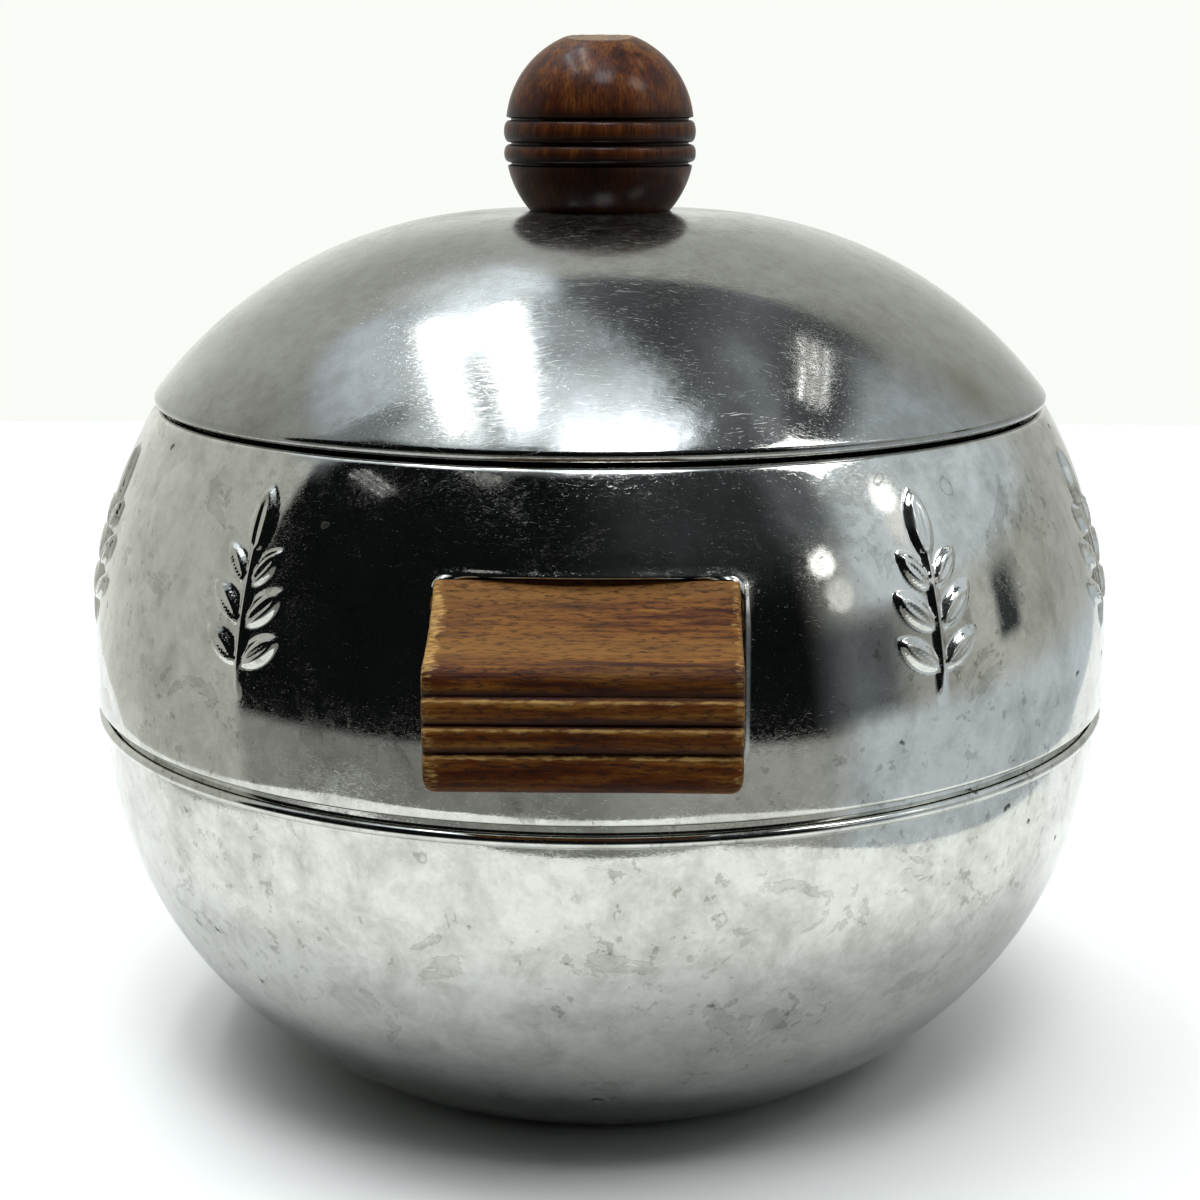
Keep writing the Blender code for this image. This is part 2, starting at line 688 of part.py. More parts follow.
def main():
    clear_scene()
    parts = new_collection("ice_bucket")
    cutters = new_collection("cutters")
    cutters.hide_render = True
    chrome = new_material("polished_chrome", (0.74, 0.76, 0.78), 0.10, 1.0)
    satin = new_material("satin_chrome", (0.66, 0.67, 0.68), 0.26, 1.0)
    liner_metal = new_material("spun_aluminium", (0.72, 0.73, 0.74), 0.22, 1.0)
    wool = new_material("glass_wool", (0.78, 0.70, 0.42), 0.95, 0.0)
    walnut = new_material("worn_walnut", (0.25, 0.12, 0.05), 0.50, 0.0)
    dark_walnut = new_material("varnished_walnut", (0.09, 0.03, 0.012), 0.30, 0.0)
    steel = new_material("zinc_plated_steel", (0.60, 0.61, 0.63), 0.35, 1.0)
    build_body(parts, cutters, chrome, liner_metal, wool)
    screw = build_handles(parts, cutters, walnut, steel)
    build_lid(parts, satin, liner_metal, wool, dark_walnut, steel, screw)


main()
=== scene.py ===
from math import asin, atan2, cos, degrees, exp, hypot, pi, radians, sin, sqrt, tan

import bmesh
import bpy
from mathutils import Matrix, Vector, noise


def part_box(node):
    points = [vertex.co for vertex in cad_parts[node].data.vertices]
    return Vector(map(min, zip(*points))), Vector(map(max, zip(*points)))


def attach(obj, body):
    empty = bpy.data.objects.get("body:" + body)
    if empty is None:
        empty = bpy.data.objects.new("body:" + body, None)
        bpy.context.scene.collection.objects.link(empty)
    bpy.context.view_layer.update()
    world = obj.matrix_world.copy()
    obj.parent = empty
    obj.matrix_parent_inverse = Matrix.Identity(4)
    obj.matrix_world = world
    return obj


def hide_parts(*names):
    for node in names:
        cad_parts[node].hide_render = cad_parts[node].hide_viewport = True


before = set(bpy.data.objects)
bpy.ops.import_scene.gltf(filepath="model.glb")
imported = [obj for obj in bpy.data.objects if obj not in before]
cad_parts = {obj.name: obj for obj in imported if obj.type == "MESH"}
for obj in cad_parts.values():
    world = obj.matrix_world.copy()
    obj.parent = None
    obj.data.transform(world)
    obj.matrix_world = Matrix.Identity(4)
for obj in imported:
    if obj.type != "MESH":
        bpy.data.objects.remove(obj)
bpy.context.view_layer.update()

# The looks of an insulated metal ice bucket, in metres. The front handle faces -Y.

print("frame loaded")


# Helpers

# an sRGB hex colour as the linear value that a shader takes
def linear(hexColour):
    channels = [int(hexColour[i:i + 2], 16) / 255 for i in (1, 3, 5)]
    return [c / 12.92 if c <= 0.04045 else ((c + 0.055) / 1.055) ** 2.4 for c in channels] + [1.0]


# adds a node with its settings; an input takes a value, a socket, or a node whose first output is meant
def addNode(tree, kind, settings=None, inputs=None):
    node = tree.nodes.new("ShaderNode" + kind)
    for name, value in (settings or {}).items():
        if name == "stops":
            ramp = node.color_ramp.elements
            while len(ramp) < len(value):
                ramp.new(0.5)
            for element, (place, colour) in zip(ramp, value):
                element.position = place
                element.color = colour
        else:
            setattr(node, name, value)
    for key, value in (inputs or {}).items():
        if isinstance(value, bpy.types.Node):
            value = value.outputs[0]
        if isinstance(value, bpy.types.NodeSocket):
            tree.links.new(value, node.inputs[key])
        else:
            node.inputs[key].default_value = value
    return node


# a new material with its tree, its Principled BSDF and the Object coordinates
def newMaterial(name):
    material = bpy.data.materials.new(name)
    material.use_nodes = True
    tree = material.node_tree
    shader = tree.nodes["Principled BSDF"]
    place = addNode(tree, "TexCoord").outputs["Object"]
    return material, tree, shader, place


# links what a surface is made up of to its shader
def linkSurface(tree, shader, metallic, colour, rough=None, relief=None):
    shader.inputs["Metallic"].default_value = metallic
    for socket, source in (("Base Color", colour), ("Roughness", rough), ("Normal", relief)):
        if source is not None:
            isNode = isinstance(source, bpy.types.Node)
            tree.links.new(source.outputs[0] if isNode else source, shader.inputs[socket])


# whether the camera, a mirror or glass sees this, and whether the camera does
def seenBy(tree):
    ray = addNode(tree, "LightPath").outputs
    isSeen = ray["Is Camera Ray"]
    for kind in ("Is Glossy Ray", "Is Transmission Ray"):
        isSeen = addNode(tree, "Math", {"operation": "MAXIMUM"}, {0: isSeen, 1: ray[kind]})
    return isSeen, ray["Is Camera Ray"]


# colours of a finish, each laid over the ones before it by its share
def layColours(tree, first, colours, layers):
    colour = linear(colours[first]) if isinstance(first, str) else first
    for share, name in layers:
        colour = addNode(tree, "Mix", {"data_type": "RGBA"}, {
            0: share, 6: colour, 7: linear(colours[name])}).outputs[2]
    return colour


def smoothStep(value, low, high):
    share = min(1.0, max(0.0, (value - low) / (high - low)))
    return share * share * (3 - 2 * share)


def arcPoints(centre, radius, start, end, steps):
    turn = (end - start) / steps
    angles = [radians(start + turn * i) for i in range(steps + 1)]
    return [(centre[0] + radius * cos(a), centre[1] + radius * sin(a)) for a in angles]


# radius of an arc that starts square to `along` and ends tangent inside a rounded corner
def blendRadius(along, across, corner):
    return (along**2 + across**2 - corner**2) / (2 * (across - corner))


def angleTo(centre, point):
    return degrees(atan2(point[1] - centre[1], point[0] - centre[0]))


# sweeps an outline by turning it round Z, or along X, one stretch of (amount, steps) after another
def sweep(outline, stretches, turned=True, closed=False, marks=None):
    bm = bmesh.new()
    mark = bm.verts.layers.float.new("mark")
    verts = [bm.verts.new((a, 0, b) if turned else (0, a, b)) for a, b in outline]
    for vert, value in zip(verts, marks or []):
        vert[mark] = value
    pairs = list(zip(verts, verts[1:])) + ([(verts[-1], verts[0])] if closed else [])
    geometry = verts + [bm.edges.new(pair) for pair in pairs]
    for amount, steps in stretches:
        full = turned and len(stretches) == 1
        swept = bmesh.ops.spin(
            bm, geom=geometry, cent=(0, 0, 0), axis=(0, 0, 1), use_merge=full, use_duplicate=False,
            angle=radians(amount) if turned else 0, steps=steps,
            dvec=(0, 0, 0) if turned else (amount / steps, 0, 0),
        )
        geometry = swept["geom_last"]
    bmesh.ops.remove_doubles(bm, verts=bm.verts, dist=0.000001)
    return bm


# a piece that rides on its body and stands for its CAD node
def finishPiece(name, bm, material, body, sheet=0, sharp=40):
    bmesh.ops.recalc_face_normals(bm, faces=bm.faces)
    mesh = bpy.data.meshes.new(name)
    bm.to_mesh(mesh)
    bm.free()
    mesh.shade_smooth()
    mesh.set_sharp_from_angle(angle=radians(sharp))
    mesh.materials.append(material)
    piece = bpy.data.objects.new(name + "_fine", mesh)
    bpy.context.scene.collection.objects.link(piece)
    if sheet:
        shell = piece.modifiers.new("sheet", "SOLIDIFY")
        shell.thickness = sheet
        shell.offset = -1
    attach(piece, body)
    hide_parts(name)
    print(name, len(mesh.polygons), "faces")
    return piece


# Camera, room and lamps

camera = {"away": 0.4305, "height": 0.1905, "turn": 1.3, "tilt": 76.89, "lens": 64.42, "sensor": 36}


def buildCamera():
    lens = bpy.data.cameras.new("camera")
    lens.lens = camera["lens"]
    lens.sensor_width = camera["sensor"]
    lens.clip_start = 0.01
    eye = bpy.data.objects.new("camera", lens)
    turn = radians(camera["turn"])
    eye.location = (camera["away"] * sin(turn), -camera["away"] * cos(turn), camera["height"])
    eye.rotation_euler = (radians(camera["tilt"]), 0, turn)
    bpy.context.scene.collection.objects.link(eye)
    bpy.context.scene.camera = eye
    bpy.context.scene.view_settings.view_transform = "Standard"


# The metal shows what stands around it, so the room is part of its look: pale walls, a ceiling that is
# bright on the left and dim on the right, and a dark screen in front. Azimuth 0 is the front and 90 is +X.
room = {
    "walls": [  # azimuth and brightness, round the room at eye level
        (-180, 1.00), (-162, 1.00), (-148, 0.96), (-128, 0.76), (-112, 0.62), (-100, 0.60), (-91, 0.60),
        (-82.5, 0.60), (-80.5, 0.36), (-60, 0.27), (0, 0.28), (16, 0.38), (28, 0.46), (50, 0.42), (74, 0.42),
        (90, 0.62), (98, 0.62), (108, 0.56), (120, 0.52), (134, 0.54), (150, 0.64), (164, 0.84), (180, 1.00)],
    "wallTint": "#fdfffa",
    "backdrop": 0.97,  # brightness of the wall behind, as the camera sees it
    "highWall": 0.74,  # brightness of the back wall high up
    "highFrom": (9, 32),  # elevations between which it turns so
    "behindFrom": (0.35, 0.75),  # and how far round to the back
    "backRise": 1.42,  # height of the back wall's top over its distance
    "sideRise": 0.95,  # the same for the other walls
    "edge": 0.05,  # softness of the line where wall and ceiling meet
    "ceiling": [  # x over height, and brightness
        (-1.10, 0.80), (-0.92, 0.90), (-0.70, 1.00), (-0.50, 1.00), (-0.16, 0.42), (0.02, 0.20), (0.16, 0.15),
        (0.34, 0.34), (0.50, 0.20), (0.70, 0.13), (1.10, 0.18)],
    "glows": [  # ranges of x and y over height, their softness, slant, and brightness on the ceiling
        (-0.30, 0.156, 0.04, -0.30, 0.50, 0.10, 0.6, 0.92),
        (-0.16, 0.17, 0.07, -0.50, 0.00, 0.12, 0.0, 2.1),
        (-0.13, 0.29, 0.06, -0.70, -0.23, 0.14, 0.0, 4.5),
        (0.41, 0.53, 0.05, -0.26, 0.26, 0.10, 0.52, 0.55),
        (-0.80, -0.45, 0.22, -0.60, 0.64, 0.20, 0.0, 1.5),
        (-0.44, -0.20, 0.08, 0.15, 0.52, 0.15, 0.0, 4.4),
        (-0.475, -0.375, 0.06, -0.36, 0.24, 0.10, 0.0, 4.5),
        (-0.285, -0.175, 0.05, -0.36, 0.24, 0.10, 0.0, 4.5),
    ],
    "fray": 0.32,  # how far noise moves the glows' edges
    "frayScale": (55.0, 12.0),  # how fine that noise is in x and in y
    "ceilingTint": "#e9f1fb",
    "patches": [  # ranges of azimuth and elevation with the softness of their ends, and brightness
        (60, 6, 124, 12, 12, 3, 50, 3, 1.0),
        (44, 6, 68, 5, -9, 2, 12, 4, 0.20),
        (97, 1.5, 105, 2, -2, 1.5, 9, 3, 0.06),
        (56, 8, 180, 2, -60, 2, -8, 3, 0.88),
        (-81.3, 1.2, 52, 7, -10.5, 1.2, 53, 4, 0.008),
        (-92, 1, -79, 4, 35, 4, 60, 2, 0.55),
        (2, 14, 52, 7, 26, 10, 53, 4, 0.050),
        (48, 6, 63, 7, 27, 6, 52, 4, 0.17),
        (-169, 4, -147, 7, 48, 8, 62, 5, 2.6),
    ],
    "patchTint": "#e0e9f2",
    "spots": [(56, 17, 2.6, 1.0), (79, 25, 3.4, 1.05), (54, 24, 2.2, 3.0), (78, 31, 2.4, 3.0)],
    # shares of the low and high room's brightness that light what isn't a mirror
    "toDiffuse": (0.12, 0.80),
    "floorFront": -0.272,
    "floorBack": 0.86,
    "floorLeft": (-0.245, -0.40),  # at its front and at its back
    "floorRight": (0.16, 0.60),
    "floorCut": (0.11, 0.050),  # the front corners are cut off
    "floor": "#f3f4f1",
    "floorShade": "#c9cac8",  # what the floor passes on to what isn't a mirror
    # distances from the axis between which the floor's painted glow rises, and how bright it gets; it leaves
    # a painted shadow round the foot
    "floorGlowSeen": (0.063, 0.120, 0.34),
    "floorGlowMirrored": (0.095, 0.170, 0.36),  # the same for the floor that the metal shows
}


def buildWorld():
    world = bpy.data.worlds.new("room")
    world.use_nodes = True
    bpy.context.scene.world = world
    tree = world.node_tree
    soft = {"interpolation_type": "SMOOTHSTEP"}
    direction = addNode(tree, "TexCoord").outputs["Generated"]
    x, y, z = addNode(tree, "SeparateXYZ", None, {0: direction}).outputs
    ahead = addNode(tree, "Math", {"operation": "MULTIPLY"}, {0: y, 1: -1.0})
    azimuth = addNode(tree, "Math", {"operation": "ARCTAN2"}, {0: x, 1: ahead})
    azimuth = addNode(tree, "Math", {"operation": "DEGREES"}, {0: azimuth})
    elevation = addNode(tree, "Math", {"operation": "ARCSINE"}, {0: z})
    elevation = addNode(tree, "Math", {"operation": "DEGREES"}, {0: elevation})

    def tinted(tint, brightness):
        return [brightness * channel for channel in linear(room[tint])[:3]] + [1]

    # share of the directions between two values, with soft ends
    def between(value, low, lowSoft, high, highSoft):
        rise = addNode(tree, "MapRange", soft, {0: value, 1: low - lowSoft, 2: low + lowSoft + 0.0001})
        fall = addNode(tree, "MapRange", soft, {
            0: value, 1: high - highSoft, 2: high + highSoft + 0.0001, 3: 1.0, 4: 0.0})
        return addNode(tree, "Math", {"operation": "MULTIPLY"}, {0: rise, 1: fall})

    def paint(under, first, second, colour):
        both = addNode(tree, "Math", {"operation": "MULTIPLY"}, {0: first, 1: second})
        return addNode(tree, "Mix", {"data_type": "RGBA"}, {0: both, 6: under, 7: colour}).outputs[2]

    # colours along a value, from a list of places and their brightness
    def colourAlong(value, places, tint):
        first, last = places[0][0], places[-1][0]
        stops = [((place - first) / (last - first), tinted(tint, brightness)) for place, brightness in places]
        share = addNode(tree, "MapRange", None, {0: value, 1: first, 2: last})
        return addNode(tree, "ValToRGB", {"stops": stops}, {0: share}).outputs[0]

    isHigh = addNode(tree, "MapRange", soft, {0: elevation, 1: room["highFrom"][0], 2: room["highFrom"][1]})
    isBehind = addNode(tree, "MapRange", soft, {0: y, 1: room["behindFrom"][0], 2: room["behindFrom"][1]})
    colour = paint(colourAlong(azimuth, room["walls"], "wallTint"), isHigh, isBehind,
                   tinted("wallTint", room["highWall"]))

    level = addNode(tree, "CombineXYZ", None, {0: x, 1: y, 2: 0.0})
    away = addNode(tree, "VectorMath", {"operation": "LENGTH"}, {0: level}).outputs["Value"]
    side, back = [addNode(tree, "Math", {"operation": "MULTIPLY"}, {0: run, 1: room[rise]})
                  for run, rise in ((away, "sideRise"), (y, "backRise"))]
    top = addNode(tree, "Math", {"operation": "MAXIMUM"}, {0: side, 1: back})
    above = addNode(tree, "Math", {"operation": "SUBTRACT"}, {0: z, 1: top})
    isCeiling = addNode(tree, "MapRange", soft, {0: above, 1: -room["edge"], 2: room["edge"]})
    height = addNode(tree, "Math", {"operation": "MAXIMUM"}, {0: z, 1: 0.05})
    overX, overY = [addNode(tree, "Math", {"operation": "DIVIDE"}, {0: run, 1: height}) for run in (x, y)]
    ceiling = colourAlong(overX, room["ceiling"], "ceilingTint")
    streak = addNode(tree, "CombineXYZ", None, {
        i: addNode(tree, "Math", {"operation": "MULTIPLY"}, {0: over, 1: room["frayScale"][i]})
        for i, over in enumerate((overX, overY))})
    streak = addNode(tree, "TexNoise", None, {
        "Vector": streak, "Scale": 1.0, "Detail": 4.0, "Roughness": 0.7})
    shift = addNode(tree, "Math", {"operation": "MULTIPLY_ADD"}, {
        0: streak, 1: room["fray"], 2: -0.5 * room["fray"]})
    overX, overY = [
        addNode(tree, "Math", {"operation": "ADD"}, {0: over, 1: shift}) for over in (overX, overY)]
    for left, right, softX, near, far, softY, slant, brightness in room["glows"]:
        across = addNode(tree, "Math", {"operation": "MULTIPLY_ADD"}, {0: overY, 1: slant, 2: overX})
        ceiling = paint(ceiling, between(across, left, softX, right, softX),
                        between(overY, near, softY, far, softY), tinted("ceilingTint", brightness))
    colour = paint(colour, isCeiling, isCeiling, ceiling)

    for left, leftSoft, right, rightSoft, low, lowSoft, high, highSoft, brightness in room["patches"]:
        colour = paint(colour, between(azimuth, left, leftSoft, right, rightSoft),
                       between(elevation, low, lowSoft, high, highSoft), tinted("patchTint", brightness))
    for az, el, radius, brightness in room["spots"]:
        toSpot = (sin(radians(az)) * cos(radians(el)), -cos(radians(az)) * cos(radians(el)), sin(radians(el)))
        near = addNode(tree, "VectorMath", {"operation": "DOT_PRODUCT"}, {0: direction, 1: toSpot})
        isSpot = addNode(tree, "MapRange", soft, {
            0: near.outputs["Value"], 1: cos(radians(radius * 1.8)), 2: cos(radians(radius * 0.7))})
        colour = paint(colour, isSpot, isSpot, [brightness] * 3 + [1])

    # the camera sees the pale back wall on every side, and mirrors see the room at its full brightness
    isSeen, isCamera = seenBy(tree)
    colour = paint(colour, isCamera, isCamera, tinted("wallTint", room["backdrop"]))
    low, high = room["toDiffuse"]
    share = addNode(tree, "MapRange", None, {0: z, 1: -0.05, 2: 0.75, 3: low, 4: high})
    strength = addNode(tree, "MapRange", None, {0: isSeen, 3: share, 4: 1.0})
    tree.links.new(colour, tree.nodes["Background"].inputs["Color"])
    tree.links.new(strength.outputs[0], tree.nodes["Background"].inputs["Strength"])


def buildFloor():
    bm = bmesh.new()
    front, back = room["floorFront"], room["floorBack"]
    left, right = room["floorLeft"], room["floorRight"]
    middle, cut = room["floorCut"]
    corners = ((left[0], front + cut), (-middle, front), (middle, front), (right[0], front + cut),
               (right[1], back), (left[1], back))
    bm.faces.new([bm.verts.new((x, y, -0.0001)) for x, y in corners])
    mesh = bpy.data.meshes.new("floor")
    bm.to_mesh(mesh)
    bm.free()
    floor = bpy.data.objects.new("floor", mesh)
    bpy.context.scene.collection.objects.link(floor)
    material, tree, shader, place = newMaterial("matt white table top")
    isSeen, isCamera = seenBy(tree)
    linkSurface(tree, shader, 0.0, layColours(tree, "floorShade", room, ((isSeen, "floor"),)))
    # a painted glow for the camera and for mirrors, from none near the axis to full further out, which leaves
    # a painted shadow round the foot
    away = addNode(tree, "VectorMath", {"operation": "LENGTH"}, {0: place}).outputs["Value"]
    mirrored, seen = [
        addNode(tree, "MapRange", {"interpolation_type": "SMOOTHSTEP"}, {0: away, 1: near, 2: far, 4: white})
        for near, far, white in (room["floorGlowMirrored"], room["floorGlowSeen"])]
    white = addNode(tree, "Mix", {"data_type": "FLOAT"}, {0: isCamera, 2: mirrored, 3: seen})
    glow = addNode(tree, "Math", {"operation": "MULTIPLY"}, {0: white, 1: isSeen})
    tree.links.new(glow.outputs[0], shader.inputs["Emission Strength"])
    shader.inputs["Emission Color"].default_value = linear(room["floor"])
    shader.inputs["Roughness"].default_value = 0.6
    shader.inputs["Specular IOR Level"].default_value = 0.2
    mesh.materials.append(material)


# soft lamps under the ceiling: name, middle x, middle y, width, length, turn in degrees, brightness, and how
# many stand in a row how far apart
lamps = {
    "height": 1.60,
    "panels": [
        ("left strip", -0.655, 0.08, 0.10, 1.00, 0, 11.0, 1, 0),
        ("middle strip", -0.345, 0.08, 0.10, 1.00, 0, 11.0, 1, 0),
        ("front panel", 0.120, -0.82, 0.48, 0.56, 0, 6.5, 1, 0),
        ("right panel", 1.30, -0.58, 0.70, 0.52, 0, 6.2, 1, 0),
        ("far strip", 0.845, 0.31, 0.015, 0.60, 12, 7.0, 3, 0.072),
        ("front strip", -1.78, -0.92, 0.022, 0.45, 19, 0.9, 3, 0.080),
        ("middle front strip", -0.83, -1.20, 0.020, 0.24, 27, 0.9, 4, 0.055),
    ],
}


def buildLamps():
    for name, x, y, width, length, turn, brightness, count, apart in lamps["panels"]:
        for i in range(count):
            light = bpy.data.lights.new(name, "AREA")
            light.shape = "RECTANGLE"
            light.size = width
            light.size_y = length
            light.energy = brightness * pi * width * length
            lamp = bpy.data.objects.new(name, light)
            lamp.location = (x + i * apart, y, lamps["height"])
            lamp.rotation_euler = (0, 0, radians(turn))
            lamp.visible_camera = False
            bpy.context.scene.collection.objects.link(lamp)


buildCamera()
buildWorld()
buildFloor()
buildLamps()
print("camera, room and lamps built")


# Materials

# fine strokes that run in several directions: a stretched noise for each, of which the peaks count
def strokePattern(tree, place, turns, length, width, low, high):
    peak = None
    for turn in turns:
        turned = addNode(tree, "Mapping", None, {
            "Vector": place, "Rotation": (0.4 * turn, 0.9, radians(turn)),
            "Scale": (1 / length, 1 / width, 1 / width)})
        cloud = addNode(tree, "TexNoise", None, {"Vector": turned, "Scale": 1.0, "Detail": 2.0})
        peak = addNode(tree, "Math", {"operation": "MAXIMUM"}, {0: peak, 1: cloud}) if peak else cloud
    return addNode(tree, "MapRange", None, {0: peak, 1: low, 2: high})


# adds layers of (socket or node, amount) to a starting value, up to 1
def addUp(tree, start, layers):
    total = start
    for layer, amount in layers:
        total = addNode(tree, "Math", {"operation": "MULTIPLY_ADD", "use_clamp": True}, {
            0: layer, 1: amount, 2: total})
    return total


# blotches of noise, from none under its level low to full over high
def blotches(tree, place, scale, detail, low, high, roughness=0.5, distortion=0.0, least=0.0):
    field = addNode(tree, "TexNoise", None, {
        "Vector": place, "Scale": scale, "Detail": detail, "Roughness": roughness, "Distortion": distortion})
    return addNode(tree, "MapRange", None, {0: field, 1: low, 2: high, 3: least})


# coordinates that waver with noise of a scale at each place
def bend(tree, place, scale, amount, coordinates):
    wobble = addNode(tree, "TexNoise", None, {"Vector": place, "Scale": scale, "Detail": 2.0})
    return addNode(tree, "VectorMath", {"operation": "MULTIPLY_ADD"}, {
        0: wobble.outputs["Color"], 1: (amount,) * 3, 2: coordinates})


# scattered spots: whether a cell holds one, a second draw for it, and the distance from its middle
def scatter(tree, place, scale, above):
    cell = addNode(tree, "TexVoronoi", None, {"Vector": place, "Scale": scale})
    draws = addNode(tree, "SeparateColor", None, {0: cell.outputs["Color"]}).outputs
    picked = addNode(tree, "Math", {"operation": "GREATER_THAN"}, {0: draws[0], 1: above})
    return picked, draws[1], cell.outputs["Distance"]


# dark nicks where cells are picked, from full within near of a cell's middle to none beyond far
def scatterNicks(tree, place, scale, above, near, far):
    picked, draw, away = scatter(tree, place, scale, above)
    dot = addNode(tree, "MapRange", None, {0: away, 1: near, 2: far, 3: 1.0, 4: 0.0})
    return addNode(tree, "Math", {"operation": "MULTIPLY"}, {0: dot, 1: picked})


# relief from layers of (height, depth in metres), each on top of the one before
def reliefOf(tree, layers):
    bump = None
    for height, depth in layers:
        below = {"Normal": bump} if bump else {}
        bump = addNode(tree, "Bump", None, {"Strength": 1.0, "Distance": depth, "Height": height, **below})
    return bump


chrome = {
    "metal": "#d3d4ce",
    "film": "#7d7c72",  # dried water film and stains
    "low": "#767a7b",  # painted shade: what the mirror darkens to towards the foot
    "footShadeLevels": (0.050, 0.010),
    "footShadeShare": 0.62,
    "dirt": "#4b4a45",
    "polish": 0.015,
}


# chromium plated steel sheet, machine polished and then worn: a clear mirror under a mist of fine scratches,
# with grey stains, rings where drops dried and a few dark nicks, and painted shade that darkens it towards
# the foot
def chromeMaterial():
    material, tree, shader, place = newMaterial("worn polished chrome")
    bent = bend(tree, place, 330.0, 0.0030, place)
    # stains 5 to 20 mm long, filled, with a darker rim
    field = addNode(tree, "TexNoise", None, {
        "Vector": place, "Scale": 58.0, "Detail": 8.0, "Roughness": 0.62, "Distortion": 0.7})
    stain = addNode(tree, "MapRange", None, {0: field, 1: 0.592, 2: 0.604})
    offLevel = addNode(tree, "Math", {"operation": "SUBTRACT"}, {0: field, 1: 0.598})
    offRim = addNode(tree, "Math", {"operation": "ABSOLUTE"}, {0: offLevel})
    rim = addNode(tree, "MapRange", None, {0: offRim, 1: 0.002, 2: 0.007, 3: 1.0, 4: 0.0})
    # small stains of 1 to 3 mm, in clusters
    small = blotches(tree, place, 300.0, 4.0, 0.61, 0.64, 0.6)
    cluster = blotches(tree, place, 24.0, 2.0, 0.46, 0.60)
    smallStain = addNode(tree, "Math", {"operation": "MULTIPLY"}, {0: small, 1: cluster})
    # rings 1 to 3 mm across where drops dried, in three of ten cells of 13 mm
    isDrop, draw, away = scatter(tree, bent, 77.0, 0.70)
    radius = addNode(tree, "MapRange", None, {0: draw, 3: 0.05, 4: 0.125})
    offRadius = addNode(tree, "Math", {"operation": "SUBTRACT"}, {0: away, 1: radius})
    offRing = addNode(tree, "Math", {"operation": "ABSOLUTE"}, {0: offRadius})
    ring = addNode(tree, "MapRange", None, {0: offRing, 1: 0.006, 2: 0.024, 3: 1.0, 4: 0.0})
    ring = addNode(tree, "Math", {"operation": "MULTIPLY"}, {0: ring, 1: isDrop})
    # a few dark nicks, up to 3 mm long
    nickPlace = addNode(tree, "Mapping", None, {
        "Vector": bent, "Rotation": (0.4, 0.2, 0.9), "Scale": (90, 200, 200)})
    nick = scatterNicks(tree, nickPlace, 1.0, 0.93, 0.08, 0.16)
    # a cloudy film that dulls and yellows the sheet in blotches of 3 to 15 mm
    cloudShare = blotches(tree, place, 95.0, 7.0, 0.42, 0.66, 0.68, 0.4)
    # the mist of scratches, each drawn 0.25 mm wide so that it shows, thicker in some places
    scratch = strokePattern(tree, bent, (20, 75, 130), 0.0016, 0.00028, 0.53, 0.74)
    long = strokePattern(tree, bent, (50, 165), 0.013, 0.00022, 0.69, 0.73)
    mistShare = blotches(tree, place, 38.0, 6.0, 0.40, 0.66, 0.7, least=0.15)
    scratch = addNode(tree, "Math", {"operation": "MULTIPLY"}, {0: scratch, 1: mistShare})
    mottleShare = blotches(tree, place, 430.0, 4.0, 0.35, 0.65, 0.7)

    filmShare = addUp(tree, 0.0, (
        (stain, 0.18), (rim, 0.26), (smallStain, 0.34), (ring, 0.30), (mottleShare, 0.16),
        (cloudShare, 0.40)))
    # painted shade: the mirror's colour darkens towards the foot
    height = addNode(tree, "SeparateXYZ", None, {0: place}).outputs["Z"]
    shadeHigh, shadeLow = chrome["footShadeLevels"]
    footShadeShare = addNode(tree, "MapRange", None, {0: height, 1: shadeHigh, 2: shadeLow, 4: chrome["footShadeShare"]})
    colour = layColours(tree, "metal", chrome, ((filmShare, "film"), (footShadeShare, "low"), (nick, "dirt")))
    rough = addUp(tree, chrome["polish"], (
        (mistShare, 0.02), (scratch, 0.26), (long, 0.22), (cloudShare, 0.03), (stain, 0.06), (rim, 0.10),
        (ring, 0.12), (nick, 0.4)))
    # the sheet isn't quite even, and its scratches are a few thousandths of a millimetre deep
    wave = addNode(tree, "TexNoise", None, {"Vector": place, "Scale": 42.0, "Detail": 1.0})
    scratches = addUp(tree, 0.3, ((scratch, 0.3), (long, -0.3), (mottleShare, 0.4)))
    linkSurface(tree, shader, 1.0, colour, rough, reliefOf(tree, ((wave, 0.00006), (scratches, 0.000004))))
    return material


lidMetal = {
    "metal": "#a4a5a2",
    "film": "#7c7c73",
    "nick": "#3a3a38",
    "stain": "#6d6a50",
    "satin": 0.035,
    "stainPlace": (0.066, -0.049, 0.1395),
    "topLevels": (0.160, 0.168),  # the dome is duller above, round the knob
}


